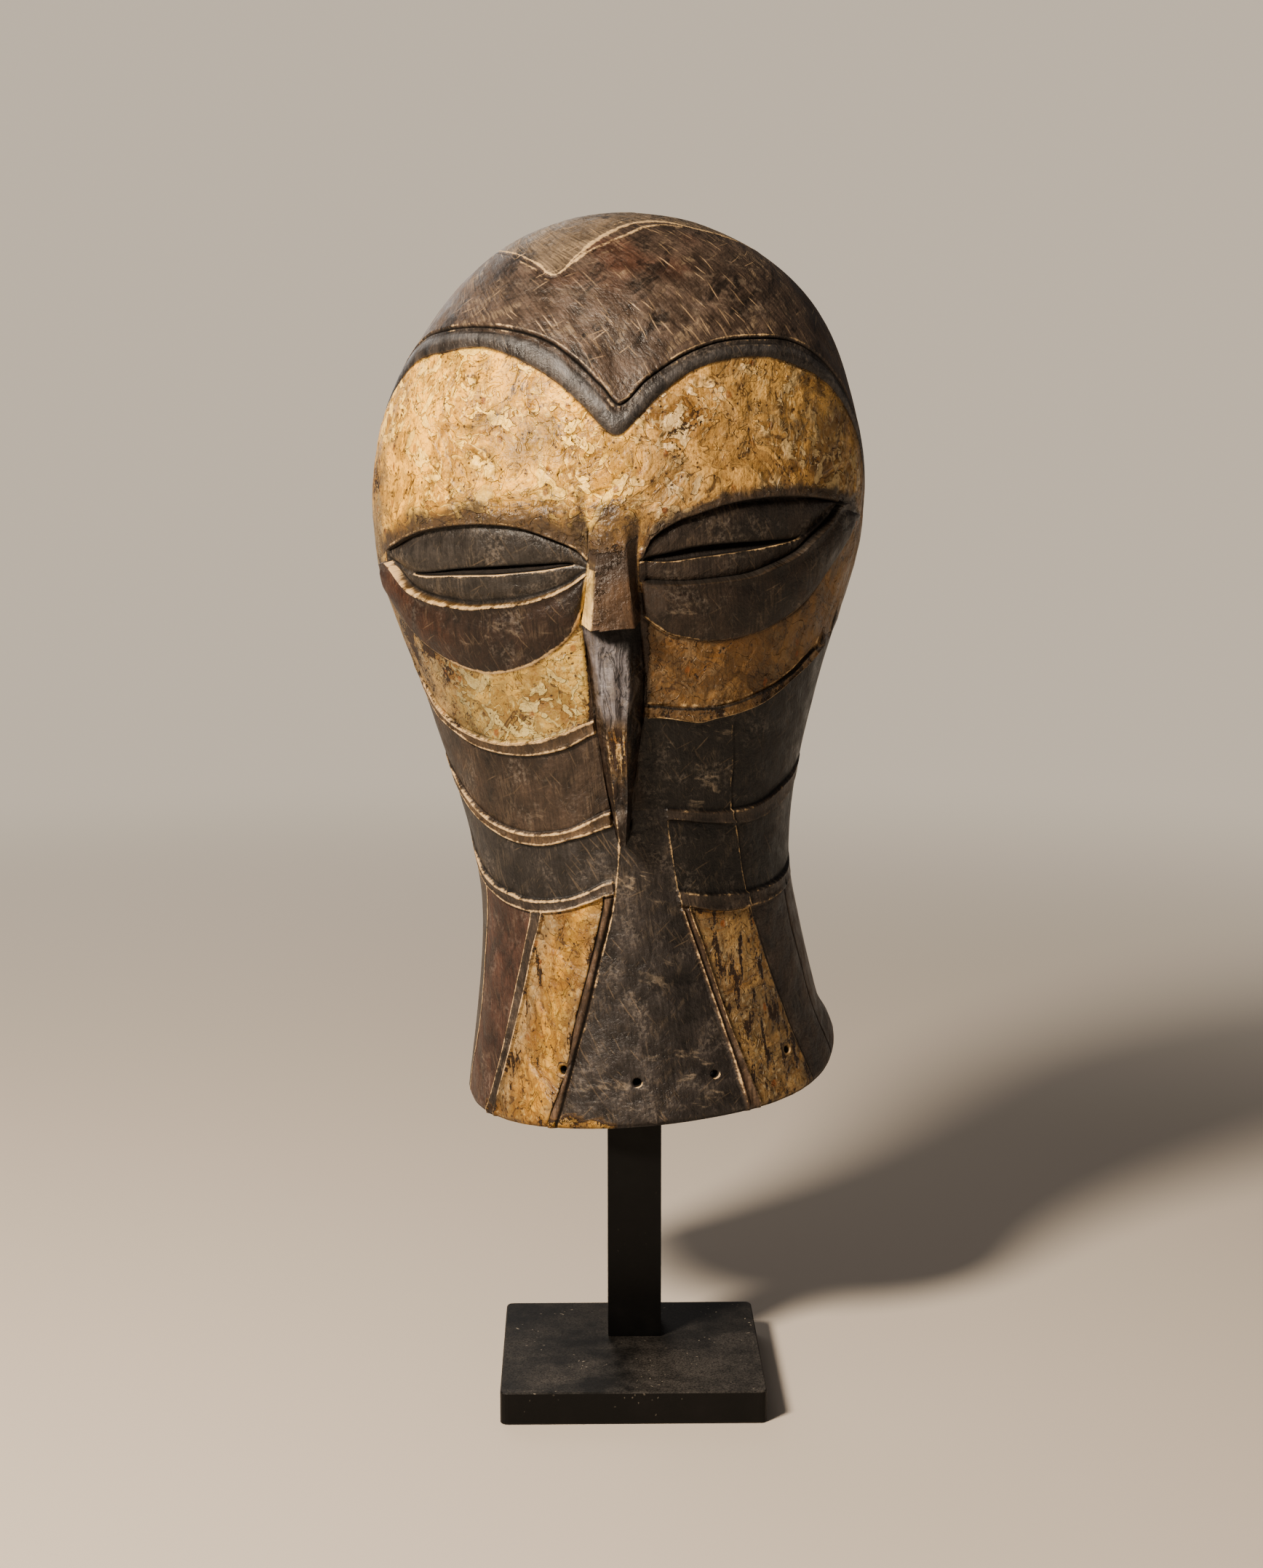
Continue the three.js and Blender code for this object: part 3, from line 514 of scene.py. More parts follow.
# strengths round the left and the right eye. The groove, a dark line of painted shade and soot on the step's
# wall, has its distance above the line of the ledge, and its width; the ledge, a painted highlight along the
# bag's upper edge, has its distance, strength and loss for each degree; the bag has width, strength, loss
eyeLines = [
    {"lid": 0.5, "slit": 1.0, "groove": (1.6, 1.2), "ledge": (-0.2, 1.0, 0), "bag": (1.5, 0.95, 0),
     "underBag": 0.35},
    {"lid": 0.25, "slit": 0.8, "groove": (0.3, 1.4), "ledge": (-1.6, 0.5, 0.01), "bag": (1.1, 0.8, 0.016),
     "underBag": 0.7},
]
ringLight = {"ring1": (0.98, 0.95), "ring2": (0.9, 0.9), "ring3": (0.95, 0.95)}     # at the top and the foot


def lineMarks(carving):
    # light worn lines and painted highlights, dark grooves and painted shade along the carving, each 0 to 1,
    # and where the nose and the beak are
    angle, along = carving.angle, carving.along
    light = np.zeros_like(angle)
    dark = np.zeros_like(angle)

    def stroke(distance, width):
        return np.clip(1 - np.abs(distance) / width, 0, 1)

    def addLight(amount, where=True):
        nonlocal light
        light = np.maximum(light, np.where(where, amount, 0))

    def addDark(amount, where=True):
        nonlocal dark
        dark = np.maximum(dark, np.where(where, amount, 0))

    addLight(stroke(carving.above("", crownLower), 2.2) * 0.9, between(angle, -22, 41))
    for add, lines in ((addLight, lightAcross), (addDark, darkAcross)):
        for name, distance, width, strength, low, high in lines:
            add(stroke(carving.above(name) - distance, width) * strength, between(angle, low, high))
    lid, slitEdge, ledge, bag = (carving.above(name) for name in ("lid", "slit", "ledge", "bag"))
    for eye, lines in zip(eyes, eyeLines):
        span = between(angle, eye["hollowFrom"], eye["hollowTo"])
        bagSpan = between(angle, eye["bagFrom"], eye["bagTo"])
        slitSpan = between(angle, eye["slitFrom"] - 1, eye["slitTo"] + 1)
        addDark(stroke(lid + 0.3, 1.0) * 0.85, span)
        addLight(stroke(lid - 1.0, 0.9) * lines["lid"], span)
        # the slit's lower lip gets a painted highlight where it faces the light, and a dark line runs along
        # its upper edge
        addLight(stroke(slitEdge + slitHalf(angle) + 0.1, 0.8) * lines["slit"], slitSpan)
        addDark(stroke(slitEdge - slitHalf(angle) - 0.1, 0.9), slitSpan)
        # painted shade on the step's wall above the ledge, then a painted highlight along the ledge
        distance, width = lines["groove"]
        addDark(stroke(ledge - distance, width) * 0.9, span)
        distance, strength, loss = lines["ledge"]
        addLight(stroke(ledge - distance, 0.9) * (strength - loss * angle), span)
        width, strength, loss = lines["bag"]
        addLight(stroke(bag - 0.5, width) * (strength - loss * angle), bagSpan)
        addDark(stroke(bag + 1.0, 0.8) * lines["underBag"], bagSpan)
    for name, spans in rings.items():
        top, foot = carving.above(name + "Top"), carving.above(name + "Foot")
        for low, high in spans:
            span = between(angle, low - 0.4, high + 0.4)
            if name == "ring1" and high > 0:
                addDark(stroke(top - 0.1, 1.0) * 0.95, span)
                addLight(stroke(top - 1.6, 1.1) * 0.7, span)
                addLight(stroke(foot, 0.9) * 0.8, span & (angle < 60))
                continue
            shade = 1.0 if high < 0 else 0.5
            addLight(stroke(top + 0.3, 1.1) * ringLight[name][0] * shade, span)
            addLight(stroke(foot - 0.3, 1.1) * ringLight[name][1] * shade, span)
            addDark(stroke(top - 1.1, 0.9) * 0.6, span)
            addDark(stroke(foot + 1.2, 0.8) * 0.4, span)
    belowRings = carving.above("ring3Foot") < 0.4
    for add, lines in ((addLight, lightUp), (addDark, darkUp)):
        for name, distance, width, strength, end in lines:
            where = belowRings if end == toRing else along < end
            add(stroke(carving.rightOf(name) - distance, width) * strength, where)
    addLight(stroke(carving.rightOf("scored"), 0.9) * np.interp(along, [145, 170], [0.62, 0.42]), along < 189)
    addDark(smoothStep(along, 1.6, 0.4) * 0.5)
    # nothing light runs over the nose and the beak but their own worn edges
    wedge = np.zeros_like(angle, bool)
    for part in (beak, nose):
        left, right = smoothCurve(part["left"])(along), smoothCurve(part["right"])(along)
        onPart = between(angle, left - 0.2, right + 0.2)
        wedge |= between(along, part["foot"] + 0.2, part["head"] - 2) & onPart
    light = np.where(wedge, 0, light)
    dark = np.where(wedge, 0, dark)
    noseEdge = stroke((angle - smoothCurve(nose["flatLeft"])(along)) * carving.perDegree, 0.9)
    light = np.where(wedge & (along > nose["foot"] + 1) & (along < 262), noseEdge * 0.7, light)
    ridge = stroke((angle - smoothCurve(beak["flatLeft"])(along)) * carving.perDegree, 0.8)
    light = np.where(wedge & (along < 190), np.maximum(light, ridge * 0.45), light)
    # painted shadow under the nose, and a thin painted highlight on the edge above it
    shadeFrom = np.interp(angle, [-9, 3], [232, 219])
    shade = smoothStep(along, shadeFrom, shadeFrom + 6) * (along < nose["foot"]) * 0.75
    dark = np.where(between(angle, -10.5, 4.2) & (along > beak["foot"]), np.maximum(dark, shade), dark)
    footEdge = between(angle, -8.5, 3.9) & between(along, nose["foot"], nose["foot"] + 1.6)
    light = np.where(footEdge, 0.22, light)
    return light, dark, wedge


# whitish wrinkles and rubs: angle, height, half width in degrees, half height, strength
scuffs = [(-1, 118, 8, 8, 0.9), (8, 110, 6, 5, 0.6), (24, 160, 7, 16, 0.7), (27, 186, 9, 6, 0.7),
          (24, 130, 8, 6, 0.5), (8, 30, 16, 9, 0.8), (-12, 18, 12, 10, 0.5), (18, 10, 14, 6, 0.6),
          (-40, 150, 18, 14, 0.25), (-30, 20, 60, 12, 0.25), (-70, 18, 6, 10, 0.8), (30, 240, 24, 8, 0.45),
          (2, 70, 14, 14, 0.35), (-30, 232, 16, 10, 0.3), (20, 400, 50, 34, 0.35), (-40, 400, 30, 20, 0.3)]
# soot on the brow and the bridge of the nose, in the same terms
sootPatches = [(0, 278, 10, 18, 0.66), (-26, 322, 14, 18, 0.4), (-56, 322, 12, 18, 0.22),
               (7, 300, 10, 18, 0.3), (40, 318, 22, 16, 0.25)]
# rings and the panels below them: top line, colour, the angles it comes in over on the right, how gilded. On
# the right the gold and the panels below are darker, as painted shade
neckBands = [("ring1Top", "band", None, 0.0), ("ring1Top", "cheekRightShaded", (-4, 8), 0.55),
             ("ring1Foot", "panelBrown", None, 0.0), ("ring1Foot", "panelRightShaded", (2, 6), 0.0),
             ("ring2Top", "band", None, 0.0), ("ring2Top", "sideGrey", (-4, 8), 0.0),
             ("ring2Foot", "panelBlack", None, 0.0), ("ring2Foot", "panelRightShaded", (8, 16), 0.0),
             ("ring3Top", "sideGrey", None, 0.0), ("ring3Foot", "sideGrey", None, 0.0)]

# colours of the wood and the paint, region by region, under neutral light, except the right-hand gold, cheek
# and panel tones and the nose's side, which hold painted shade, and the bead's and the beak's blue-grey,
# which are painted highlight and sheen
tones = {
    "cap": linear(112, 97, 80), "forehead": linear(84, 70, 60), "foreheadRed": linear(86, 62, 50),
    "bead": linear(66, 60, 56), "beadHighlight": linear(98, 96, 96),
    "goldBright": linear(206, 154, 68), "goldLeft": linear(250, 190, 90), "goldRightShaded": linear(194, 152, 92),
    "lidLeft": linear(56, 51, 47), "lidRight": linear(56, 47, 41), "bagLeft": linear(43, 30, 23),
    "bagRight": linear(46, 36, 29), "bagRed": linear(72, 44, 30),
    "cheekLeft": linear(176, 144, 82), "cheekOlive": linear(122, 106, 70),
    "cheekRightShaded": linear(126, 96, 60),
    "band": linear(83, 66, 49), "panelBrown": linear(60, 48, 39), "panelBlack": linear(47, 43, 41),
    "panelRightShaded": linear(31, 27, 24), "stripRed": linear(74, 52, 43), "charcoal": linear(50, 45, 43),
    "sideGrey": linear(68, 58, 51), "goldStrip": linear(172, 130, 66), "goldPatchy": linear(156, 128, 86),
    "round": linear(92, 73, 58), "noseFront": linear(102, 79, 59), "noseSideShaded": linear(66, 50, 38),
    "noseCream": linear(255, 220, 152), "beakSheen": linear(104, 100, 103), "beakBrownAndShade": linear(44, 32, 24),
    "inside": linear(84, 64, 48), "edge": linear(70, 54, 42),
}


def colours(carving, places):
    # colour of the surface and how much of it is gilded, region by region
    angle, along = carving.angle, carving.along
    tone = np.zeros(angle.shape + (3,)) + np.array(tones["charcoal"])
    gild = np.zeros_like(angle)
    d = {name: carving.above(name) for name in acrossLine}
    side = {name: carving.rightOf(name) for name in upLine}
    lump = unevenness(places, 22, 1)
    small = unevenness(places, 7, 2)

    def over(name):
        return smoothStep(d[name], -0.35, 0.35)

    def lay(amount, colour, gold=0.0):
        nonlocal tone, gild
        amount = np.clip(amount, 0, 1)
        tone = tone * (1 - amount[..., None]) + np.array(tones[colour]) * amount[..., None]
        gild = gild * (1 - amount) + gold * amount

    # the right half, where the gold and the cheek take darker copies as painted shade
    right = smoothStep(angle, -4, 8)
    lay(over("crown"), "cap")
    forehead = over("browTop") * (1 - over("crown"))
    lay(forehead, "forehead")
    redMiddle = lump + 0.9 - np.hypot((angle - 4) / 30, (along - 415) / 26)
    lay(forehead * smoothStep(redMiddle, 0, 0.7), "foreheadRed")
    bead = over("browFoot") * (1 - over("browTop"))
    lay(bead, "bead")
    # a painted highlight along the bead, half as strong on the right
    highOnBead = -d["browTop"] + small * 0.8
    lay(bead * smoothStep(np.abs(highOnBead - 5.6), 2.6, 0.8) * (1 - right * 0.5), "beadHighlight")
    brownEdge = smoothStep(np.abs(highOnBead - 2.3), 1.4, 0.5) * smoothStep(angle, -52, -30) * (1 - right)
    lay(bead * brownEdge, "edge")
    brow = 1 - over("browFoot")
    lay(brow, "goldLeft", 1.0)
    # the right of the brow takes a darker gold, as painted shade
    lay(brow * right, "goldRightShaded", 0.98)
    # towards the back edges the gold of the brow wears out before it meets the cheeks
    lowBrow = brow * smoothStep(along + lump * 14 + small * 8, 335, 285)
    lay(lowBrow * smoothStep(angle + small * 5 + lump * 4, -60, -76), "goldPatchy", 0.62)
    lay(lowBrow * smoothStep(angle + small * 5 + lump * 4, 64, 80), "cheekRightShaded", 0.86)
    underBag = 1 - over("bag")
    lay(underBag, "cheekLeft", 0.96)
    # and the right cheek a darker gold, as painted shade
    lay(underBag * right, "cheekRightShaded", 0.86)
    lay(underBag * smoothStep(angle + small * 6 + lump * 6, -36, -52) * 0.7, "cheekOlive", 0.9)
    lay(underBag * smoothStep(angle + small * 5 + lump * 4, -50, -64), "goldPatchy", 0.62)
    middlePart = smoothStep(angle, -11, -9) * smoothStep(angle, 7, 5) * (along < 250)
    lay(middlePart, "panelBrown", 0.2)
    for eye in eyes:
        left = eye is eyes[0]
        lidSpan = between(angle, eye["hollowFrom"] - 1, eye["hollowTo"])
        bagSpan = between(angle, eye["bagFrom"], eye["bagTo"])
        onBag = (1 - over("ledge")) * over("bag") * bagSpan
        lay(onBag, "bagLeft" if left else "bagRight")
        lay(onBag * smoothStep(angle + lump * 8, -46, -62) * 0.7, "bagRed")
        lay((1 - over("lid")) * over("ledge") * lidSpan, "lidLeft" if left else "lidRight")
    for name, colour, fromRight, gold in neckBands:
        lay((1 - over(name)) * (smoothStep(angle, *fromRight) if fromRight else 1.0), colour, gold)
    below = 1 - over("ring3Foot")

    def span(leftName, rightName):
        leftPart = smoothStep(side[leftName], -0.3, 0.3) if leftName else 1.0
        return leftPart * smoothStep(side[rightName], 0.3, -0.3)

    lay(below * span(None, "stripALeft"), "stripRed")
    lay(below * span(None, "sideEdge"), "sideGrey")
    lay(below * span("stripALeft", "stripARight"), "sideGrey")
    leftGold = below * span("stripARight", "stripBLeft")
    lay(leftGold, "goldStrip", 0.9)
    lay(leftGold * smoothStep(side["stripARight"] + small * 3 + lump * 3, 13, 5), "goldPatchy", 0.7)
    lay(leftGold * smoothStep(-side["stripBLeft"] + small * 2, 5, 1) * 0.8, "goldPatchy", 0.62)
    brightLine = smoothStep(np.abs(side["stripBLeft"] + 11 + lump * 2), 6, 1)
    lay(leftGold * brightLine * 0.8, "goldBright", 1.0)
    lay(below * span("stripBLeft", "stripBRight"), "round")
    lay(span("stripBRight", "stripCLeft") * (along < 150), "charcoal")
    lay(below * span("stripCLeft", "stripCRight"), "round")
    lay(below * span("stripCRight", "scored"), "goldPatchy", 0.64)
    lay(below * span("scored", "sideCrease"), "sideGrey")
    lay(below * smoothStep(side["sideCrease"], -0.3, 0.3), "edge")
    # bits of gold left along the bottom rim on the left
    bits = smoothStep(along + small * 5, 6, 3) * between(angle, -64, -12)
    lay(bits * 0.9, "goldStrip", 0.75)
    # nose and beak
    for part in (beak, nose):
        left, rightEnd, flatLeft, flatRight = (
            smoothCurve(part[name])(along) for name in ("left", "right", "flatLeft", "flatRight"))
        inside = between(along, part["foot"] - 0.1, part["head"]) & between(angle, left - 0.1, rightEnd + 0.1)
        if part is nose:
            low = smoothStep(along, 284, 262)
            lay(inside * low, "noseFront", 0.2)
            # the nose's right side is darker, as painted shade
            lay(inside * low * smoothStep(angle - flatRight, -0.4, 0.6), "noseSideShaded")
            cream = smoothStep(flatLeft - angle, -0.2, 0.4) * smoothStep(along + small * 3, 270, 258)
            lay(inside * cream, "noseCream")
        else:
            onBeak = between(along, beak["foot"], beak["head"]) & between(angle, left, rightEnd)
            # the blue-grey of the beak is a painted sheen on its lit facet
            lay(inside * 1.0, "beakSheen")
            raw = unevenness(places * np.array([1, 1, 0.28]), 3.2, 9)
            margin = smoothStep((angle - left) * carving.perDegree + small * 1.2, 3.4, 1.4)
            lower = smoothStep(along + raw * 18 + small * 8, 208, 188)
            brownAndShade = np.maximum(margin * smoothStep(along, 236, 224), lower)
            # its right facet is darkened as painted shade; the brown low down and at its upper left edge is
            # its own
            brownAndShade = np.maximum(brownAndShade, smoothStep(angle + raw * 1.4, 0.2, 1.4))
            lay(inside * brownAndShade, "beakBrownAndShade")
            worn = smoothStep(1.1 - np.hypot((angle + 2.4) / 3.2, (along - 182) / 15), 0, 0.7)
            lay(inside * worn, "goldPatchy", 0.5)
    grain = onBeak * 1.0
    strip = below * (span("stripARight", "stripBLeft") + span("stripCRight", "scored"))

    def patch(angle0, along0, wide, tall, strength):
        away = np.hypot((angle - angle0) / wide, (along - along0) / tall)
        return smoothStep(1.1 - away + small * 0.4, 0, 0.5) * strength

    scuff = np.maximum.reduce([patch(*place) for place in scuffs]) * (gild < 0.3)
    wear = 0.2 + 0.8 * over("browTop") + 0.4 * over("crown")
    # soot above the lids and round the bridge of the nose, and painted shade on the nose's right side
    reach = np.where(angle < -3, 21 + 12 * smoothStep(angle, -34, -14) - 6 * smoothStep(angle, -50, -70), 10)
    overNose = between(angle, -7.4, 4.4)
    aboveLid = np.where(overNose, 0.8 * smoothStep(d["lid"], -16, 4), d["lid"] > -0.3)
    smokeAndShade = smoothStep(d["lid"] + small * 2.5, reach, 0.5) * aboveLid * smoothStep(np.abs(angle), 80, 66)
    for place in sootPatches:
        smokeAndShade = np.maximum(smokeAndShade, patch(*place))
    # painted shade on the right of the nose
    smokeAndShade = np.maximum(smokeAndShade, patch(6, 255, 4, 22, 0.75) * (angle > 1))
    smokeAndShade = smokeAndShade * brow * (1 - 0.8 * between(angle, -9, -6.2) * (along < 262))
    return tone, {"gild": gild, "strip": np.maximum(strip, grain), "scuff": scuff, "wear": wear,
                  "smokeAndShade": smokeAndShade, "grain": grain}


# the mesh follows the carved lines: rows lie along the lines that run across, columns along those that
# run up, and the counts are the rows and columns from each line to the next
rowMarks = ["rimLine", "ring3Foot", "ring3Top", "beakFoot", "ring2Foot", "ring2Top", "ring1Foot", "ring1Top",
            "noseFoot", "bag", "ledge", "slitFoot", "slitTop", "lid", "browFoot", "browTop", "crown", "crest"]
rowCounts = [52, 6, 13, 5, 6, 25, 6, 17, 7, 17, 8, 1, 13, 52, 11, 40, 16]
columnMarks = ["leftBack", "leftSide", "sideEdge", "stripALeft", "stripARight", "stripBLeft", "stripBRight",
               "frontLeft", "frontRight", "beakRight", "stripCLeft", "stripCRight", "scored", "sideCrease",
               "rightSide", "rightBack"]
columnCounts = [3, 18, 36, 9, 50, 12, 8, 12, 8, 16, 10, 44, 32, 23, 3]
innerEvery = 4      # the inside takes every fourth line
backSteps = columnCounts[0]
gridSweeps = 14     # turns in which rows and columns settle on each other's lines


def rowLines(angle):
    # the heights of all the marks that the rows follow, kept in order and apart
    slit = acrossLine["slit"](angle)
    own = {"rimLine": np.zeros_like(angle), "crest": np.full_like(angle, skinTop),
           "slitFoot": slit - slitHalf(angle), "slitTop": slit + slitHalf(angle)}
    heightsOf = [own[name] if name in own else acrossLine[name](angle) for name in rowMarks]
    for k in range(len(heightsOf) - 2, -1, -1):
        gap = 0.4 if rowMarks[k] == "slitFoot" else 1.0
        heightsOf[k] = np.minimum(heightsOf[k], heightsOf[k + 1] - gap)
    return np.stack(heightsOf, 0)


def columnLines(along):
    fixed = {"leftBack": -mask["back"], "leftSide": -mask["edge"], "rightSide": mask["edge"],
             "rightBack": mask["back"]}
    return np.stack([np.full_like(along, fixed[name]) if name in fixed else upLine[name](along)
                     for name in columnMarks], 0)


def steps(counts):
    # for each mesh line: the interval it is in, and how far along it
    which = [k for k, count in enumerate(counts) for i in range(count)] + [len(counts) - 1]
    part = [i / count for count in counts for i in range(count)] + [1.0]
    return np.array(which), np.array(part)


def surfaceGrid():
    # the angle and the height of every point of the outer skin
    rowOf, rowPart = steps(rowCounts)
    columnOf, columnPart = steps(columnCounts)
    closeUp = 0.32      # how much closer the columns lie beside a line
    columnPart = columnPart - closeUp * np.sin(2 * math.pi * columnPart) / (2 * math.pi)
    counts = np.array(rowCounts, float)[rowOf][:, None]
    shape = (len(rowOf), len(columnOf))
    angle = np.broadcast_to(np.linspace(-mask["back"], mask["back"], shape[1]), shape).copy()
    along = np.zeros(shape)

    def ends(lines, interval):
        # the lines at both ends of each place's interval
        return [np.take_along_axis(lines, np.broadcast_to(interval + k, (1,) + shape), 0)[0] for k in (0, 1)]

    for sweep in range(gridSweeps):
        low, high = ends(rowLines(angle), rowOf[None, :, None])
        crowd = np.clip(1 - 0.55 * counts / np.maximum(1, high - low), 0, 0.7)
        part = rowPart[:, None] - crowd * np.sin(2 * math.pi * rowPart[:, None]) / (2 * math.pi)
        along = low + (high - low) * part
        low, high = ends(columnLines(along), columnOf[None, None, :])
        angle = low + (high - low) * columnPart[None, :]
    return angle, along


# what the knife and the paint leave on the wood, in millimetres
woodRelief = {"waveSize": 24, "wave": 0.4, "rippleSize": 8, "ripple": 0.12, "deeper": 0.25, "allOver": 0.3,
              "paint": 0.38, "lightLine": 0.22, "darkLine": 0.5, "facetSize": 6.5, "facet": 2.8,
              "smallFacetSize": 2.6, "smallFacet": 1.0, "rimRound": 0.9}


def dressed(angle, along):
    # places on the carved surface in metres, with their colours and marks
    carving = Carving(angle, along)
    base = worldPlace(sheet(angle, along))
    light, dark, wedge = lineMarks(carving)
    tone, paints = colours(carving, base)
    size = woodRelief
    flat = (np.abs(angle) <= 90) & (along < skinTop - 12)
    edgeFade = np.clip((91 - np.abs(angle)) / 8, 0, 1) * flat
    knife = unevenness(base, size["waveSize"], 3) * size["wave"]
    knife = knife + unevenness(base, size["rippleSize"], 4) * size["ripple"] - size["deeper"]
    thick = smoothStep(unevenness(base, 5.5, 5) + 0.3 * unevenness(base, 2.6, 6), -0.25, 0.1)
    lines = paints["gild"] * thick * size["paint"] + light * size["lightLine"] - dark * size["darkLine"]
    proud = heights(carving) - size["allOver"] + edgeFade * (knife + lines * (1 - 0.5 * wedge))
    # long facets that the knife left on the beak
    facet = np.abs(unevenness(base * np.array([1, 1, 0.32]), size["facetSize"], 7)) * size["facet"]
    small = np.abs(unevenness(base * np.array([1, 1, 0.25]), size["smallFacetSize"], 11)) * size["smallFacet"]
    proud = proud - wedge * (along < nose["foot"]) * (facet + small)
    proud = proud - size["rimRound"] * smoothStep(along, 2.4, 0)
    places = worldPlace(sheet(angle, along) + outward(angle, along) * proud[..., None])
    backFace = (mask["place"][1] + mask["backStrip"]) * 0.001
    places[..., 1] = np.minimum(places[..., 1], backFace)
    return {"place": places, "tone": tone, "light": light, "dark": dark,
            "skin": skinPlace(angle, along), **paints}


marks = ("gild", "light", "dark", "strip", "scuff", "wear", "smokeAndShade", "grain")


class MeshStore:
    # the points of the mask with their marks, and its faces
    def __init__(self):
        self.places, self.tone, self.skin, self.faces = [], [], [], []
        self.values = {name: [] for name in marks}

    def add(self, skin):
        # puts the points in the store and gives their numbers, in the same layout
        count = len(self.places)
        shape = skin["place"].shape[:-1]
        number = int(np.prod(shape))
        self.places.extend(skin["place"].reshape(-1, 3).tolist())
        self.tone.extend(skin["tone"].reshape(-1, 3).tolist())
        self.skin.extend(skin["skin"].reshape(-1, 3).tolist())
        for name in marks:
            self.values[name].extend(skin[name].reshape(-1).tolist())
        return np.arange(count, count + number).reshape(shape)

    def face(self, corners):
        # points that fall together count once
        kept = list(dict.fromkeys(int(corner) for corner in corners))
        if len(kept) > 2:
            self.faces.append(kept)


def plainSkin(places, colour, dark=0.0):
    # skin of one colour, with no marks on it but a darkening, which in the slits is painted shade
    shape = places.shape[:-1]
    skin = {name: np.zeros(shape) for name in marks}
    skin["place"] = places
    skin["tone"] = np.zeros(shape + (3,)) + np.array(colour)
    skin["skin"] = places[..., [0, 2, 1]]
    skin["dark"] += dark
    return skin


def closeTop(numbers, sideSteps):
    # at the crest the front columns end in one point and the two back strips meet
    top = numbers[-1]
    last = len(top) - 1
    for i in range(sideSteps + 1, last - sideSteps + 1):
        top[i] = top[sideSteps]
    for i in range(sideSteps):
        top[last - i] = top[i]


def chosenLines(count, needed):
    # the lines of the outside that the inside keeps: some at even steps, and all that the openings need
    wanted = set(needed)
    for k in list(range(0, count, innerEvery)) + [count]:
        if k in (0, count) or all(abs(k - n) >= 2 for n in needed):
            wanted.add(k)
    return sorted(wanted)


def blockLoop(rows, columns):
    # the edge of a block of cells, counter-clockwise from its lower left corner
    bottom = [(rows[0], c) for c in columns[:-1]]
    rightSide = [(r, columns[-1]) for r in rows[:-1]]
    top = [(rows[-1], c) for c in reversed(columns[1:])]
    leftSide = [(r, columns[0]) for r in reversed(rows[1:])]
    return bottom + rightSide + top + leftSide


# the inside of the wall, in millimetres: the height at which it follows the rise of the slits, over what
# span, and the dents that the gouge left, cut away from the middle of the hollow
insideWall = {"slitHeight": 262, "slitSpan": 28, "dentSize": 14, "dent": 0.5, "middle": (10, 85, 320)}


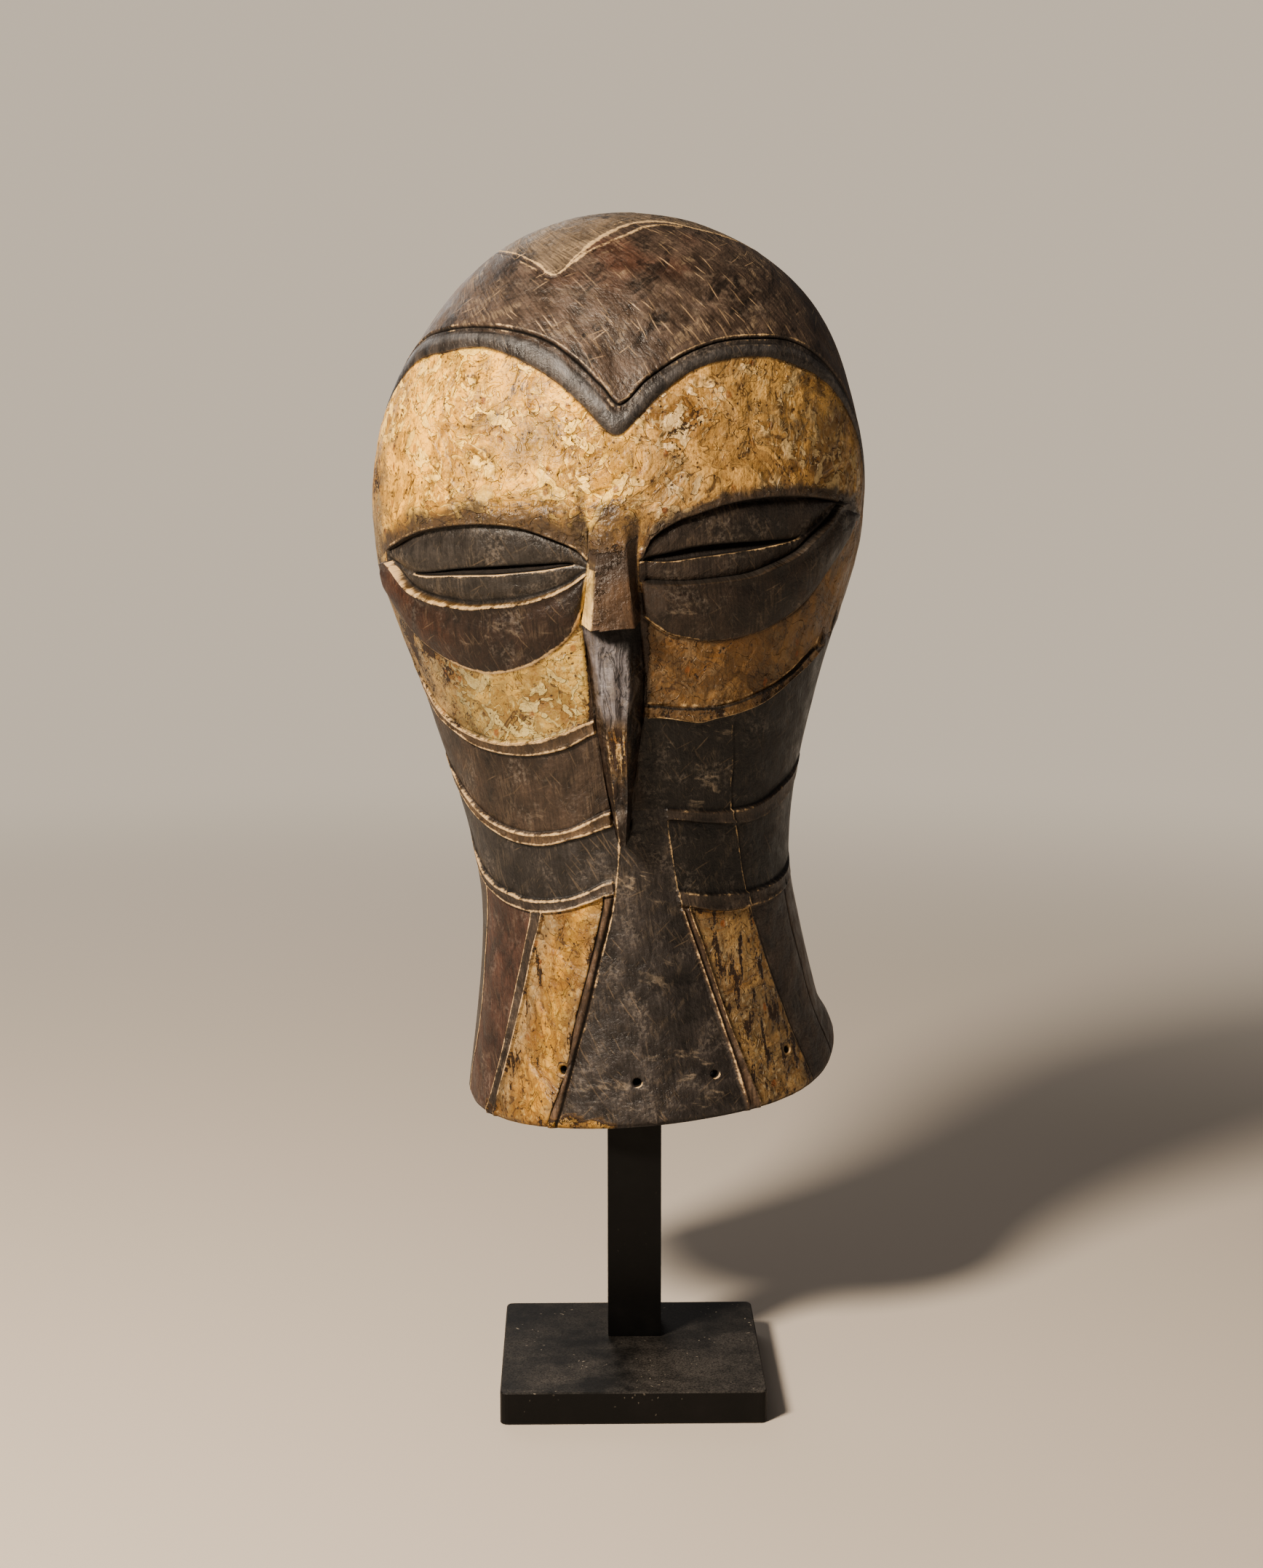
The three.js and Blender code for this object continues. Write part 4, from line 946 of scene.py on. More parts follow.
class MaskShell:
    # the outer and the inner skin of the mask, and the faces that join them at the edges and openings
    def __init__(self):
        self.store = MeshStore()
        self.angle, self.along = surfaceGrid()
        self.rowTotal, self.columnTotal = self.angle.shape[0] - 1, self.angle.shape[1] - 1
        self.outer = self.store.add(dressed(self.angle, self.along))
        closeTop(self.outer, backSteps)
        print("mask surface worked out:", self.outer.size, "points")
        self.slitRow = sum(rowCounts[:rowMarks.index("slitFoot")])
        self.slitSpans = [self.slitColumns(eye) for eye in eyes]
        self.holeBlocks = [self.holeBlock(*place) for place in rimHoles["places"]]
        self.addInside()
        self.addWalls()
        self.addEdges()
        for first, final in self.slitSpans:
            self.addSlit(first, final)
        for place, block in zip(rimHoles["places"], self.holeBlocks):
            self.addHole(*place, block)

    def slitColumns(self, eye):
        # the first and last column of an eye slit
        row = self.angle[self.slitRow]
        return [int(np.argmin(np.abs(row - eye[end]))) for end in ("slitFrom", "slitTo")]

    def holeBlock(self, holeAngle, holeAlong):
        # the block of cells that a hole takes: first and last row, first and last column
        reach = rimHoles["radius"] + rimHoles["lip"] + rimHoles["margin"]
        wide = reach / float(millimetresPerDegree(float(holeAngle), float(holeAlong)))
        lowRow = 10     # a row near the rim, on which the middle column of a hole is found
        column = int(np.argmin(np.abs(self.angle[lowRow] - holeAngle)))
        rows = np.where(np.abs(self.along[:rowCounts[0], column] - holeAlong) < reach)[0]
        columns = np.where(np.abs(self.angle[rows] - holeAngle).min(0) < wide)[0]
        return [int(rows[0]) - 1, int(rows[-1]) + 1, int(columns[0]) - 1, int(columns[-1]) + 1]

    def addInside(self):
        # the inner skin, on fewer rows and columns
        needRows, needColumns = [self.slitRow, self.slitRow + 1], [backSteps, self.columnTotal - backSteps]
        for span in self.slitSpans:
            needColumns += span
        for block in self.holeBlocks:
            needRows += block[:2]
            needColumns += block[2:]
        self.rows = chosenLines(self.rowTotal, needRows)
        self.columns = chosenLines(self.columnTotal, needColumns)
        self.rowAt = {row: k for k, row in enumerate(self.rows)}
        self.columnAt = {column: k for k, column in enumerate(self.columns)}
        picked = np.ix_(self.rows, self.columns)
        angle, along = self.angle[picked], self.along[picked]
        rise = np.exp(-((along - insideWall["slitHeight"]) / insideWall["slitSpan"]) ** 2)
        rise = rise * smoothStep(np.abs(angle), 80, 62) * slitRise
        places = worldPlace(sheet(angle, np.minimum(along + rise, skinTop), mask["wall"]))
        dents = np.abs(unevenness(places, insideWall["dentSize"], 8))[..., None] * insideWall["dent"] * 0.001
        dents[[0, -1]] = 0
        dents[:, [0, 1, -2, -1]] = 0
        away = places - np.array(insideWall["middle"]) * 0.001
        away = away / np.linalg.norm(away, axis=-1, keepdims=True)
        self.inner = self.store.add(plainSkin(places + away * dents, tones["inside"]))
        closeTop(self.inner, self.columnAt[backSteps])

    def addWalls(self):
        # the outer and the inner skin, left open at the slits and the holes
        outer, inner = self.outer, self.inner
        outerOpen = np.zeros((self.rowTotal, self.columnTotal), bool)
        innerOpen = np.zeros((len(self.rows) - 1, len(self.columns) - 1), bool)
        slitBlocks = [[self.slitRow, self.slitRow + 1, *span] for span in self.slitSpans]
        for r0, r1, c0, c1 in slitBlocks + self.holeBlocks:
            outerOpen[r0:r1, c0:c1] = True
            innerOpen[self.rowAt[r0]:self.rowAt[r1], self.columnAt[c0]:self.columnAt[c1]] = True
        for j, i in np.argwhere(~outerOpen):
            self.store.face([outer[j, i], outer[j, i + 1], outer[j + 1, i + 1], outer[j + 1, i]])
        for j, i in np.argwhere(~innerOpen):
            self.store.face([inner[j, i], inner[j + 1, i], inner[j + 1, i + 1], inner[j, i + 1]])

    def addEdges(self):
        # the rim and the two flat back edges
        outer, inner, rows, columns = self.outer, self.inner, self.rows, self.columns
        for k in range(len(columns) - 1):
            front = [outer[0, c] for c in range(columns[k + 1], columns[k], -1)]
            self.store.face([outer[0, columns[k]], inner[0, k], inner[0, k + 1]] + front)
        for k in range(len(rows) - 1):
            span = range(rows[k], rows[k + 1] + 1)
            self.store.face([outer[r, 0] for r in span] + [inner[k + 1, 0], inner[k, 0]])
            self.store.face([inner[k, -1], inner[k + 1, -1]] + [outer[r, -1] for r in reversed(span)])

    def addSlit(self, first, final):
        # a lip just inside the slit, painted dark as the slit's shade, then the sloping passage
        outer, inner, row, face = self.outer, self.inner, self.slitRow, self.store.face
        k = self.rowAt[row]
        lips = []
        for edge in (row, row + 1):
            there = (edge, slice(first, final + 1))
            places = np.array([self.store.places[p] for p in outer[there]])
            inwards = worldDirection(self.angle[there], self.along[there]) * -slitLip["in"] * 0.001
            # the lips are darkened fully, as painted shade inside the slit
            lip = plainSkin(places + inwards + np.array([0, 0, slitLip["up"] * 0.001]), tones["inside"], 1.0)
            lip["light"] = lip["light"] + slitLip["light"]
            lips.append(self.store.add(lip))
        foot, top = lips
        for c in range(first, final):
            m = c - first
            face([outer[row, c], outer[row, c + 1], foot[m + 1], foot[m]])
            face([outer[row + 1, c + 1], outer[row + 1, c], top[m], top[m + 1]])
        for m in range(self.columnAt[first], self.columnAt[final]):
            a, b = self.columns[m] - first, self.columns[m + 1] - first
            face([foot[c] for c in range(a, b + 1)] + [inner[k, m + 1], inner[k, m]])
            face([top[c] for c in range(b, a - 1, -1)] + [inner[k + 1, m], inner[k + 1, m + 1]])
        m = self.columnAt[first]
        face([outer[row + 1, first], outer[row, first], foot[0], top[0]])
        face([top[0], foot[0], inner[k, m], inner[k + 1, m]])
        m = self.columnAt[final]
        face([outer[row, final], outer[row + 1, final], top[-1], foot[-1]])
        face([foot[-1], top[-1], inner[k + 1, m], inner[k, m]])

    def addHole(self, holeAngle, holeAlong, block):
        # circles that lead from the block's edge into the hole, and on to the inside
        outer, inner, face = self.outer, self.inner, self.store.face
        r0, r1, c0, c1 = block
        perDegree = float(millimetresPerDegree(float(holeAngle), float(holeAlong)))
        loop = blockLoop(list(range(r0, r1 + 1)), list(range(c0, c1 + 1)))
        turn = np.array([math.atan2(self.along[spot] - holeAlong, (self.angle[spot] - holeAngle) * perDegree)
                         for spot in loop])
        circles = []
        for radius, sunk, glint, sootAndShade in rimHoles["circles"]:
            ringAngle = holeAngle + radius * np.cos(turn) / perDegree
            ringAlong = holeAlong + radius * np.sin(turn)
            ring = dressed(ringAngle, ringAlong)
            ring["place"] = ring["place"] - worldDirection(ringAngle, ringAlong) * sunk * 0.001
            # a painted highlight on the hole's lower right, where its edge faces the light, and painted shade
            # deeper in
            ring["light"] = np.clip(np.cos(turn + math.radians(rimHoles["lightFrom"])), 0, 1) * glint
            ring["dark"] = ring["dark"] * 0 + sootAndShade
            ring["gild"] = ring["gild"] * 0
            circles.append(self.store.add(ring))
        innerRing = sheet(holeAngle + rimHoles["radius"] * np.cos(turn) / perDegree,
                          holeAlong + rimHoles["radius"] * np.sin(turn), mask["wall"])
        circles.append(self.store.add(plainSkin(worldPlace(innerRing), tones["inside"])))
        size = len(loop)
        for m in range(size):
            after = (m + 1) % size
            face([outer[loop[m]], outer[loop[after]], circles[0][after], circles[0][m]])
            for one, other in zip(circles, circles[1:]):
                face([one[m], one[after], other[after], other[m]])
        rows = self.rows[self.rowAt[r0]:self.rowAt[r1] + 1]
        columns = self.columns[self.columnAt[c0]:self.columnAt[c1] + 1]
        backLoop = blockLoop(rows, columns)
        for spot, after in zip(backLoop, backLoop[1:] + backLoop[:1]):
            place = loop.index(spot)
            arc = [circles[-1][(place + q) % size] for q in range((loop.index(after) - place) % size + 1)]
            corners = [inner[self.rowAt[r], self.columnAt[c]] for r, c in (after, spot)]
            face(arc + corners)


def buildMask(store):
    # the mesh, with the marks and colours that its paint reads
    used = sorted({corner for face in store.faces for corner in face})
    renumber = {old: new for new, old in enumerate(used)}
    mesh = bpy.data.meshes.new("carvedMask")
    faces = [[renumber[corner] for corner in face] for face in store.faces]
    mesh.from_pydata([store.places[k] for k in used], [], faces)
    for name in marks:
        values = np.array(store.values[name], dtype=np.float32)[used]
        mesh.attributes.new(name, "FLOAT", "POINT").data.foreach_set("value", values)
    tone = np.ones((len(used), 4), dtype=np.float32)
    tone[:, :3] = np.array(store.tone, dtype=np.float32)[used]
    mesh.attributes.new("tone", "FLOAT_COLOR", "POINT").data.foreach_set("color", tone.ravel())
    skin = np.array(store.skin, dtype=np.float32)[used]
    mesh.attributes.new("skin", "FLOAT_VECTOR", "POINT").data.foreach_set("vector", skin.ravel())
    mesh.polygons.foreach_set("use_smooth", [True] * len(mesh.polygons))
    mesh.set_sharp_from_angle(angle=math.radians(62))
    mesh.update()
    piece = bpy.data.objects.new("carvedMask", mesh)
    bpy.context.scene.collection.objects.link(piece)
    return piece


# materials
class Nodes:
    # a short way to write a material's nodes
    def __init__(self, name):
        self.material = bpy.data.materials.new(name)
        self.material.use_nodes = True
        self.tree = self.material.node_tree
        self.shader = self.tree.nodes["Principled BSDF"]

    def make(self, kind, **settings):
        node = self.tree.nodes.new(kind)
        for key, value in settings.items():
            setattr(node, key, value)
        return node

    def join(self, source, target):
        self.tree.links.new(source, target)

    def put(self, socket, value):
        if isinstance(value, bpy.types.NodeSocket):
            self.join(value, socket)
        else:
            socket.default_value = value

    def attribute(self, name, output="Fac"):
        return self.make("ShaderNodeAttribute", attribute_name=name).outputs[output]

    def position(self):
        return self.make("ShaderNodeTexCoord").outputs["Object"]

    def cloud(self, where, scale, detail=4.0, rough=0.55, warp=0.0, flat=True):
        node = self.make("ShaderNodeTexNoise", noise_dimensions="2D" if flat else "3D")
        self.join(where, node.inputs["Vector"])
        node.inputs["Scale"].default_value = scale
        node.inputs["Detail"].default_value = detail
        node.inputs["Roughness"].default_value = rough
        node.inputs["Distortion"].default_value = warp
        return node.outputs["Fac"]

    def cells(self, where, scale, shape="EUCLIDEAN", flat=True):
        node = self.make("ShaderNodeTexVoronoi", voronoi_dimensions="2D" if flat else "3D", distance=shape)
        self.join(where, node.inputs["Vector"])
        node.inputs["Scale"].default_value = scale
        return node.outputs

    def turned(self, where, degrees, stretch):
        # coordinates turned, then drawn out along their own second axis
        mapping = self.make("ShaderNodeMapping", vector_type="TEXTURE")
        mapping.inputs["Scale"].default_value = (1, stretch, 1)
        mapping.inputs["Rotation"].default_value = (0, 0, math.radians(degrees))
        self.join(where, mapping.inputs["Vector"])
        return mapping.outputs["Vector"]

    def sums(self, kind, a, b=0.5):
        node = self.make("ShaderNodeMath", operation=kind)
        self.put(node.inputs[0], a)
        self.put(node.inputs[1], b)
        return node.outputs[0]

    def times(self, *values):
        total = values[0]
        for value in values[1:]:
            total = self.sums("MULTIPLY", total, value)
        return total

    def swing(self, value, amount):
        # a cloud's rise and fall about its middle value
        return self.times(self.sums("SUBTRACT", value, 0.5), amount)

    def step(self, value, low, high):
        node = self.make("ShaderNodeMapRange", interpolation_type="SMOOTHSTEP")
        self.put(node.inputs["Value"], value)
        node.inputs["From Min"].default_value = low
        node.inputs["From Max"].default_value = high
        return node.outputs["Result"]

    def spread(self, value, low, high, fromLow=0.0, fromHigh=1.0):
        node = self.make("ShaderNodeMapRange")
        self.put(node.inputs["Value"], value)
        node.inputs["From Min"].default_value = fromLow
        node.inputs["From Max"].default_value = fromHigh
        node.inputs["To Min"].default_value = low
        node.inputs["To Max"].default_value = high
        return node.outputs["Result"]

    def mix(self, amount, a, b, kind="MIX"):
        node = self.make("ShaderNodeMix", data_type="RGBA", blend_type=kind)
        self.put(node.inputs[0], amount)
        self.put(node.inputs[6], a if isinstance(a, bpy.types.NodeSocket) else (*a, 1))
        self.put(node.inputs[7], b if isinstance(b, bpy.types.NodeSocket) else (*b, 1))
        return node.outputs[2]

    def grey(self, value):
        # a number as a grey colour, to multiply a colour with
        node = self.make("ShaderNodeCombineColor")
        for k in range(3):
            self.join(value, node.inputs[k])
        return node.outputs[0]

    def wobble(self, where, scale, amount):
        # the coordinates shaken a little, so that chips and cracks are ragged
        node = self.make("ShaderNodeTexNoise", noise_dimensions="2D")
        self.join(where, node.inputs["Vector"])
        node.inputs["Scale"].default_value = scale
        node.inputs["Detail"].default_value = 2.0
        shift = self.make("ShaderNodeVectorMath", operation="MULTIPLY_ADD")
        self.join(node.outputs["Color"], shift.inputs[0])
        shift.inputs[1].default_value = (amount, amount, amount)
        self.join(where, shift.inputs[2])
        return shift.outputs["Vector"]

    def bump(self, height, depthInMetres, strength=1.0, normal=None):
        node = self.make("ShaderNodeBump")
        self.join(height, node.inputs["Height"])
        node.inputs["Distance"].default_value = depthInMetres
        node.inputs["Strength"].default_value = strength
        if normal is not None:
            self.join(normal, node.inputs["Normal"])
        return node.outputs["Normal"]

    def dashes(self, where, turn, scale, stretch, radius, rarity, shape="EUCLIDEAN"):
        # short strokes that all run one way, such as knife nicks and scratches
        cell = self.cells(self.turned(where, turn, stretch), scale, shape)
        draw = self.make("ShaderNodeSeparateColor")
        self.join(cell["Color"], draw.inputs[0])
        present = self.times(self.step(draw.outputs[0], rarity, rarity + 0.02),
                             self.spread(draw.outputs[1], 0.35, 1.0))
        return self.times(self.step(cell["Distance"], radius, radius * 0.55), present)

    def strokes(self, where, kinds, shape="EUCLIDEAN"):
        total = None
        for kind in kinds:
            made = self.dashes(where, *kind, shape)
            total = made if total is None else self.sums("MAXIMUM", total, made)
        return total

    def wrinkles(self, field, width):
        # thin wandering lines, where a cloud passes its middle value
        return self.step(self.sums("ABSOLUTE", self.sums("SUBTRACT", field, 0.5)), width, 0.0)


patina = {
    "underGold": linear(62, 42, 27),
    "brighter": (1.28, 1.34, 1.35),     # times the colour of the gold there
    "creamier": (1.20, 1.52, 2.25),
    "goldOchre": linear(120, 84, 42),
    "duller": (0.50, 0.54, 0.66),
    "rust": linear(132, 80, 42),
    "wornLineAndHighlight": linear(222, 190, 142),
    "scratch": linear(184, 158, 126),
    "dust": linear(140, 122, 100),
    "sootAndShade": linear(19, 16, 14),
    "smokeAndShade": linear(64, 57, 52),
    "chalk": linear(132, 122, 112),
    "haze": linear(158, 142, 122),
    "shine": 0.5,
    "thickness": 0.0008,                # of the raised paint, in metres
}
# short strokes: degrees from upright, cells to a metre, length to width, half width in cells, share left out
falling = [(32, 260, 18, 0.12, 0.40), (40, 330, 14, 0.12, 0.45), (24, 300, 22, 0.11, 0.50)]
rising = [(-50, 290, 14, 0.12, 0.55), (-68, 290, 16, 0.11, 0.62)]
hairlines = [(24, 480, 12, 0.10, 0.60), (-38, 560, 9, 0.11, 0.65)]
crumbs = [(20, 260, 1.6, 0.24, 0.66), (-50, 320, 2.0, 0.24, 0.66)]
rustSpots = [(0, 95, 1.3, 0.16, 0.8)]
flakes = [(-32, 2.3, 115), (52, 2.0, 135), (80, 1.8, 100)]      # degrees, length to width, clouds to a metre


def agedMaskPaint():
    # stained wood and worn gold paint, laid where the marks on the mesh say
    n = Nodes("agedMaskPaint")
    times, step, spread, cloud = n.times, n.step, n.spread, n.cloud
    skin = n.attribute("skin", "Vector")
    ragged = n.wobble(skin, 150, 0.0022)
    tone = n.attribute("tone", "Color")
    gild, light, dark, strip, scuff, wear, smokeAndShade, onBeak = (n.attribute(name) for name in marks)
    big = cloud(skin, 24, detail=4)
    mid = cloud(skin, 95, detail=6, rough=0.62)
    fine = cloud(skin, 520, detail=4, rough=0.65)
    grain = n.mix(wear, n.grey(cloud(n.turned(skin, 3, 14), 900, detail=3)),
                  n.grey(cloud(n.turned(ragged, 32, 16), 760, detail=3)))
    figure = cloud(n.turned(ragged, 2, 4), 150, detail=3, rough=0.5, warp=1.6)     # of the wood of the beak
    layer = cloud(ragged, 34, detail=4, rough=0.5, warp=0.5)
    levels = times(layer, 8.0)
    part = n.sums("FRACT", levels)
    swirl = cloud(skin, 38, detail=7, rough=0.66, warp=0.7)
    curl = cloud(ragged, 105, detail=2, rough=0.45, warp=0.9)
    lively = times(step(cloud(skin, 28, detail=4, rough=0.6), 0.40, 0.54), spread(strip, 1.0, 0.4),
                   spread(step(gild, 0.84, 0.98), 0.35, 1.0))

    def darkWood():
        # stained unevenly, with grain, rubbed smears, nicks, specks and dust
        shade = times(spread(big, 0.52, 1.22, 0.25, 0.75), spread(mid, 0.55, 1.45, 0.25, 0.75))
        shade = times(shade, spread(grain, 0.55, 1.45, 0.25, 0.75), spread(fine, 0.8, 1.2, 0.25, 0.75))
        wood = n.mix(1.0, tone, n.grey(shade), "MULTIPLY")
        smear = cloud(n.turned(ragged, -35, 2.6), 70, detail=6, rough=0.68, warp=0.4)
        dusty = times(step(smear, 0.54, 0.66), step(grain, 0.42, 0.58), wear, 0.7)
        wood = n.mix(dusty, wood, patina["dust"])
        wood = n.mix(times(step(smear, 0.45, 0.34), spread(wear, 0.4, 0.75)), wood, patina["sootAndShade"])
        chalk = times(step(cloud(skin, 46, detail=8, rough=0.74), 0.50, 0.68), step(fine, 0.42, 0.62))
        wood = n.mix(times(chalk, spread(wear, 0.42, 0.2)), wood, patina["chalk"])
        calm = n.wobble(skin, 60, 0.0016)
        sideways = step(cloud(skin, 16, detail=2), 0.44, 0.56)
        nicks = n.sums("MAXIMUM", times(n.strokes(calm, falling), spread(sideways, 0.4, 1.0)),
                       times(n.strokes(calm, rising), spread(sideways, 0.9, 0.0)))
        nicks = times(nicks, step(cloud(skin, 42, detail=3), 0.38, 0.50))
        nicks = n.sums("MAXIMUM", times(nicks, wear), times(n.strokes(calm, hairlines), 0.14))
        wood = n.mix(times(nicks, 0.85), wood, patina["scratch"])
        creased = step(cloud(n.turned(ragged, 72, 3.0), 150, detail=5, rough=0.7, warp=0.5), 0.53, 0.66)
        creased = times(creased, step(mid, 0.42, 0.58), scuff)
        wood = n.mix(times(creased, 0.75), wood, patina["haze"])
        # the beak's figure: dark lines that run down and curl
        wood = n.mix(times(n.wrinkles(figure, 0.06), onBeak, 0.8), wood, patina["sootAndShade"])
        return n.mix(times(step(figure, 0.62, 0.70), onBeak, 0.25), wood, patina["chalk"])

    def wornGold(flaked, outlined):
        # laid thick in layers, torn and flaked, darker in the hollows; each torn edge has a painted
        # highlight, and painted shadow on its far side
        tornHighlight = step(part, 0.20, 0.04)
        underShadow = step(part, 0.82, 0.97)
        whiteNoise = n.make("ShaderNodeTexWhiteNoise", noise_dimensions="1D")
        n.join(n.sums("FLOOR", levels), whiteNoise.inputs["W"])
        patchTone = whiteNoise.outputs["Value"]
        gold = n.mix(1.0, tone, n.grey(spread(patchTone, 0.7, 1.08)), "MULTIPLY")
        bright, cream, dull = (n.mix(1.0, tone, patina[name], "MULTIPLY")
                               for name in ("brighter", "creamier", "duller"))
        gold = n.mix(times(step(patchTone, 0.6, 0.9), spread(strip, 0.6, 0.2)), gold, bright)
        gold = n.mix(times(step(big, 0.55, 0.43), step(mid, 0.64, 0.48), 0.8), gold, dull)
        gold = n.mix(times(step(swirl, 0.47, 0.34), 0.65), gold, patina["goldOchre"])
        gold = n.mix(times(step(swirl, 0.54, 0.66), spread(strip, 0.6, 0.35)), gold, bright)
        gold = n.mix(times(step(fine, 0.49, 0.34), 0.6), gold, patina["goldOchre"])
        # painted shadow and painted highlight at the edges of the paint layers
        gold = n.mix(times(underShadow, step(mid, 0.56, 0.46), 0.8), gold, patina["underGold"])
        gold = n.mix(times(tornHighlight, step(mid, 0.46, 0.56), spread(lively, 0.2, 0.9)), gold, cream)
        # small curls of paint, lit on one side and dark on the other
        curls = times(lively, step(cloud(skin, 120, detail=1), 0.44, 0.54))
        darkSide = times(step(curl, 0.475, 0.49), step(curl, 0.505, 0.495), curls, 0.45)
        gold = n.mix(darkSide, gold, patina["goldOchre"])
        gold = n.mix(times(step(curl, 0.50, 0.508), step(curl, 0.54, 0.525), curls, 0.8), gold, cream)
        rimTone = tuple((a + b) / 2 for a, b in zip(patina["underGold"], patina["goldOchre"]))
        gold = n.mix(times(outlined, lively, 0.42), gold, rimTone)
        crumb = n.sums("MAXIMUM", lively, times(strip, 0.8))
        crumb = times(n.strokes(ragged, crumbs, "CHEBYCHEV"), crumb)
        raised = times(n.sums("MAXIMUM", flaked, crumb), spread(fine, 0.6, 0.95, 0.4, 0.55))
        gold = n.mix(raised, gold, cream)
        crack = times(n.wrinkles(layer, 0.005), step(swirl, 0.56, 0.46))
        gold = n.mix(times(crack, 0.55), gold, patina["underGold"])
        gold = n.mix(times(n.strokes(ragged, rustSpots), 0.9), gold, patina["rust"])
        pits = step(n.cells(ragged, 170)["Distance"], 0.13, 0.06)
        gold = n.mix(times(pits, step(mid, 0.52, 0.46), 0.9), gold, patina["underGold"])
        return n.mix(times(strip, step(streaks, 0.50, 0.38), 0.55), gold, patina["goldOchre"])

    # flakes of paint, each with its outline
    flaked, outlined = None, None
    for turn, stretch, scale in flakes:
        field = cloud(n.turned(ragged, turn, stretch), scale, detail=3, rough=0.5)
        top = step(field, 0.622, 0.634)
        line = times(step(field, 0.585, 0.606), step(field, 0.634, 0.622))
        flaked = top if flaked is None else n.sums("MAXIMUM", flaked, top)
        outlined = line if outlined is None else n.sums("MAXIMUM", outlined, line)
    flaked = times(flaked, lively)
    streaks = cloud(n.turned(ragged, 0, 4.5), 230, detail=5, rough=0.62)

    # where the gold still covers the wood, and what is bare
    patchy = n.mix(strip, n.grey(swirl), n.mix(onBeak, n.grey(streaks), grain))
    patchy = n.sums("ADD", n.sums("ADD", gild, n.swing(patchy, 1.9)), n.swing(fine, 0.7))
    covered = times(step(patchy, 0.42, 0.52), step(gild, 0.02, 0.15))
    stained = n.mix(spread(mid, 0.3, 1.0), patina["sootAndShade"], patina["underGold"])
    bare = n.mix(step(gild, 0.02, 0.4), darkWood(), stained)
    surface = n.mix(covered, bare, wornGold(flaked, outlined))
    tattered = n.sums("ADD", n.swing(swirl, 1.6), n.swing(fine, 0.5))
    # this mark is soot and also painted shade beside the nose
    smokedAndShaded = times(step(n.sums("ADD", smokeAndShade, tattered), 0.12, 0.9), step(smokeAndShade, 0.02, 0.2), 0.94)
    smokeTone = n.mix(spread(fine, 0.0, 0.5, 0.3, 0.7), patina["smokeAndShade"], patina["underGold"])
    surface = n.mix(smokedAndShaded, surface, smokeTone)

    # worn light lines and painted highlights, and dirt in the grooves with painted shade in the slits, the
    # holes, the eyes' steps and under the nose
    broken = n.sums("ADD", n.sums("ADD", light, n.swing(mid, 1.2)), n.swing(fine, 0.8))
    # the light mark is worn lines and also painted highlights at the holes, the slits, the eyes' ledges and
    # the nose's foot
    worn = times(step(broken, 0.36, 0.78), step(light, 0.05, 0.3))
    dirtAndShade = step(dark, 0.1, 0.8)
    wornAndHighlightTone = n.mix(spread(fine, 0.2, 1.2, 0.3, 0.7), patina["scratch"], patina["wornLineAndHighlight"])
    surface = n.mix(times(worn, 0.85), surface, wornAndHighlightTone)
    surface = n.mix(times(dirtAndShade, 0.92), surface, patina["sootAndShade"])
    n.join(surface, n.shader.inputs["Base Color"])

    rough = n.sums("ADD", spread(mid, 0.30, 0.54, 0.3, 0.7), times(dirtAndShade, 0.3))
    n.join(n.sums("ADD", rough, times(worn, 0.12)), n.shader.inputs["Roughness"])
    n.shader.inputs["Specular IOR Level"].default_value = patina["shine"]

    # paint layers and knife texture stand proud by parts of a millimetre
    plates = n.sums("ADD", spread(part, 1.1, 0.3), times(step(curl, 0.49, 0.51), 0.8))
    relief = times(covered, n.sums("ADD", plates, times(flaked, 1.5)))
    relief = n.sums("ADD", relief, times(figure, onBeak, 1.2))
    for rise, share in ((mid, 1.4), (swirl, 1.2), (fine, 0.25), (grain, 0.25)):
        relief = n.sums("ADD", relief, times(rise, share))
    n.join(n.bump(relief, patina["thickness"], 1.0), n.shader.inputs["Normal"])
    return n.material


stand = {
    "stand_post": {"base": linear(10, 10, 10), "haze": linear(17, 16, 15), "fleck": 0.1, "dust": 0.0},
    "stand_base": {"base": linear(16, 16, 16), "haze": linear(25, 23, 22), "fleck": 0.7, "dust": 0.85},
}
standDirt = {"dust": linear(104, 99, 94), "fleck": linear(176, 166, 150), "shine": 0.28}


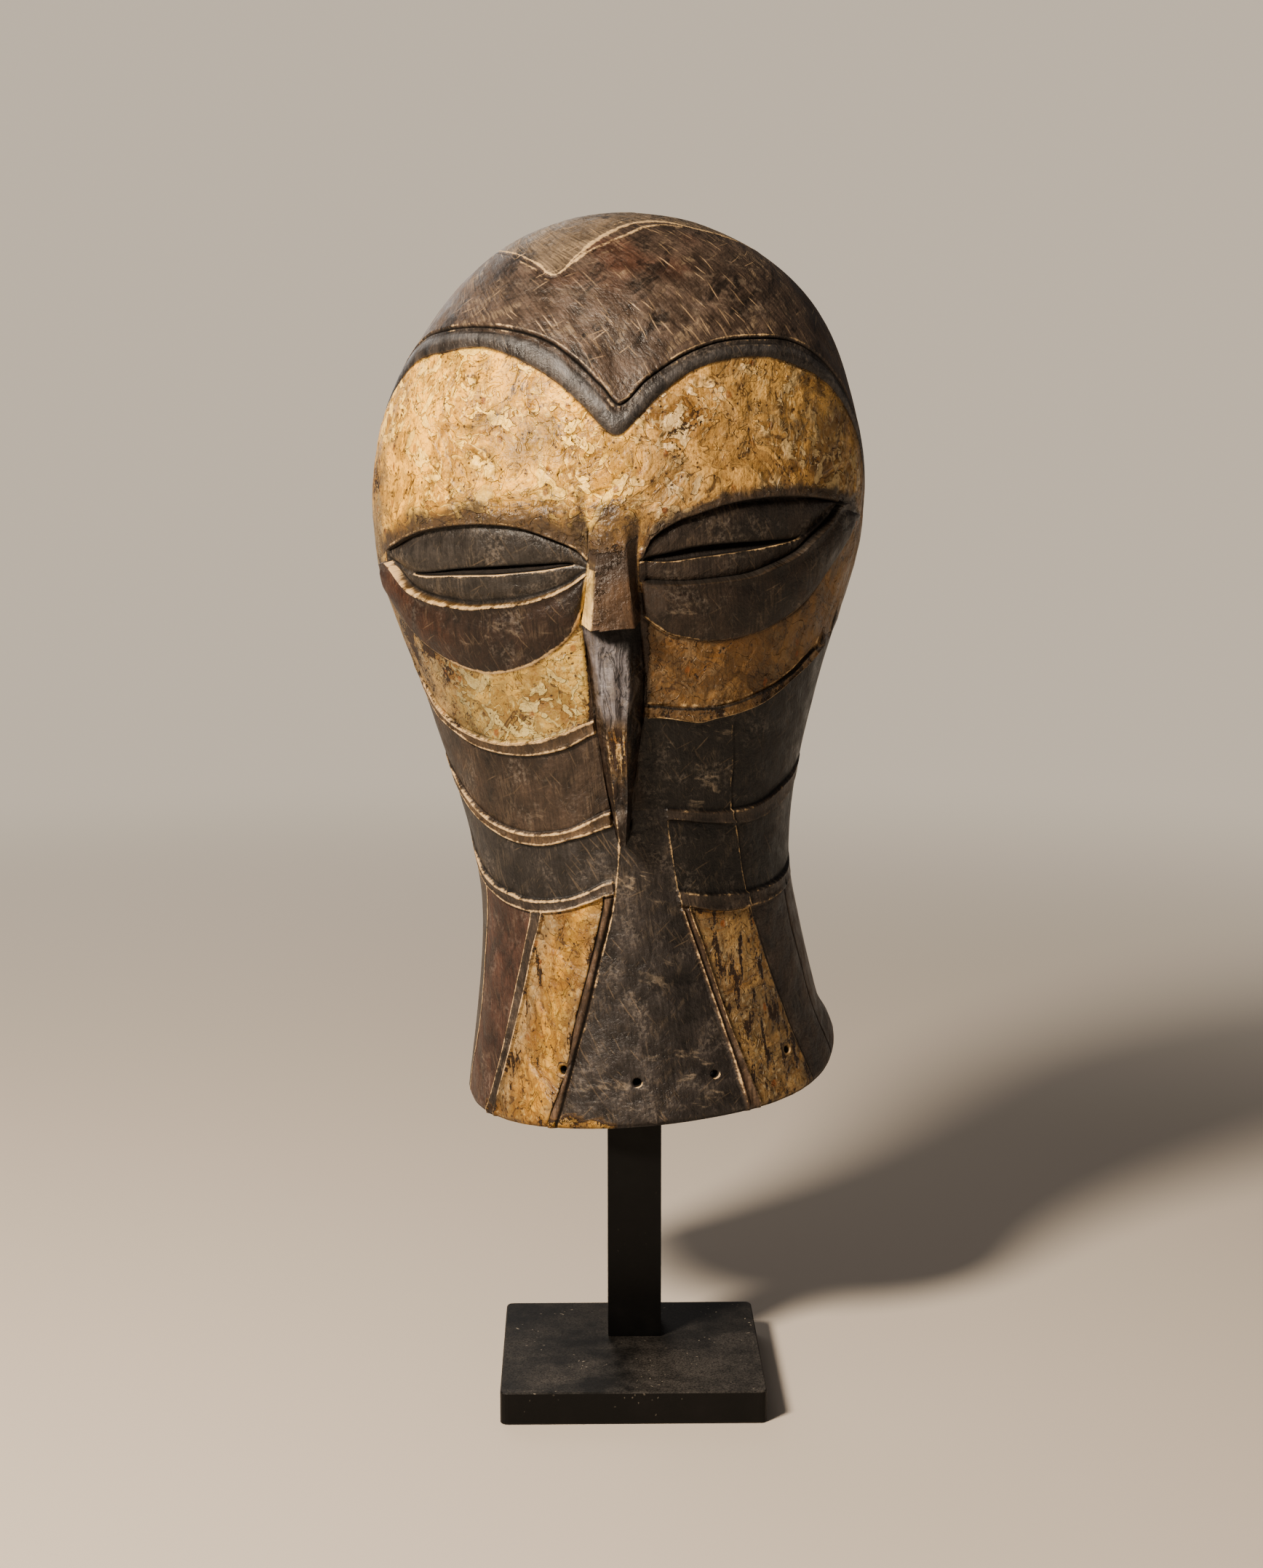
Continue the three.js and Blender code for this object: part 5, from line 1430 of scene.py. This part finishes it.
def blackStandPaint(name, paint):
    # satin black with a haze, specks, and dust on the faces that look up
    n = Nodes(name)
    here = n.position()
    smudge = n.cloud(here, 38, detail=5, flat=False)
    fine = n.cloud(here, 900, detail=3, flat=False)
    colour = n.mix(n.step(smudge, 0.42, 0.72), paint["base"], paint["haze"])
    facing = n.make("ShaderNodeSeparateXYZ")
    n.join(n.make("ShaderNodeNewGeometry").outputs["Normal"], facing.inputs[0])
    place = n.make("ShaderNodeSeparateXYZ")
    n.join(here, place.inputs[0])
    powder = n.step(n.cloud(here, 1300, detail=4, rough=0.75, flat=False), 0.30, 0.66)
    toFront = n.spread(place.outputs[1], 1.0, 0.5, -0.05, 0.04)
    settled = n.times(n.step(facing.outputs[2], 0.4, 0.9), n.spread(smudge, 0.15, 0.9, 0.38, 0.62), powder,
                      toFront)
    colour = n.mix(n.times(settled, paint["dust"]), colour, standDirt["dust"])
    specks = n.step(n.cells(n.wobble(here, 90, 0.012), 280, flat=False)["Distance"], 0.16, 0.07)
    specks = n.times(specks, n.step(n.cloud(here, 60, detail=2, flat=False), 0.52, 0.60),
                     n.spread(facing.outputs[2], 0.3, 1.0, 0.2, 0.9))
    colour = n.mix(n.times(specks, paint["fleck"]), colour, standDirt["fleck"])
    n.join(colour, n.shader.inputs["Base Color"])
    n.join(n.spread(smudge, 0.34, 0.56, 0.3, 0.7), n.shader.inputs["Roughness"])
    n.shader.inputs["Specular IOR Level"].default_value = standDirt["shine"]
    normal = n.bump(fine, 0.00006, 0.6)
    n.join(n.bump(smudge, 0.0004, 0.3, normal), n.shader.inputs["Normal"])
    return n.material


maskPiece = buildMask(MaskShell().store)
maskPiece.data.materials.append(agedMaskPaint())
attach(maskPiece, "root")
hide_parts("mask")
print("mask built:", len(maskPiece.data.polygons), "faces")

for node, paint in stand.items():
    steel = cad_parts[node]
    black = blackStandPaint(node + "Paint", paint)
    if steel.material_slots:
        steel.material_slots[0].material = black
    else:
        steel.data.materials.append(black)
print("stand painted")
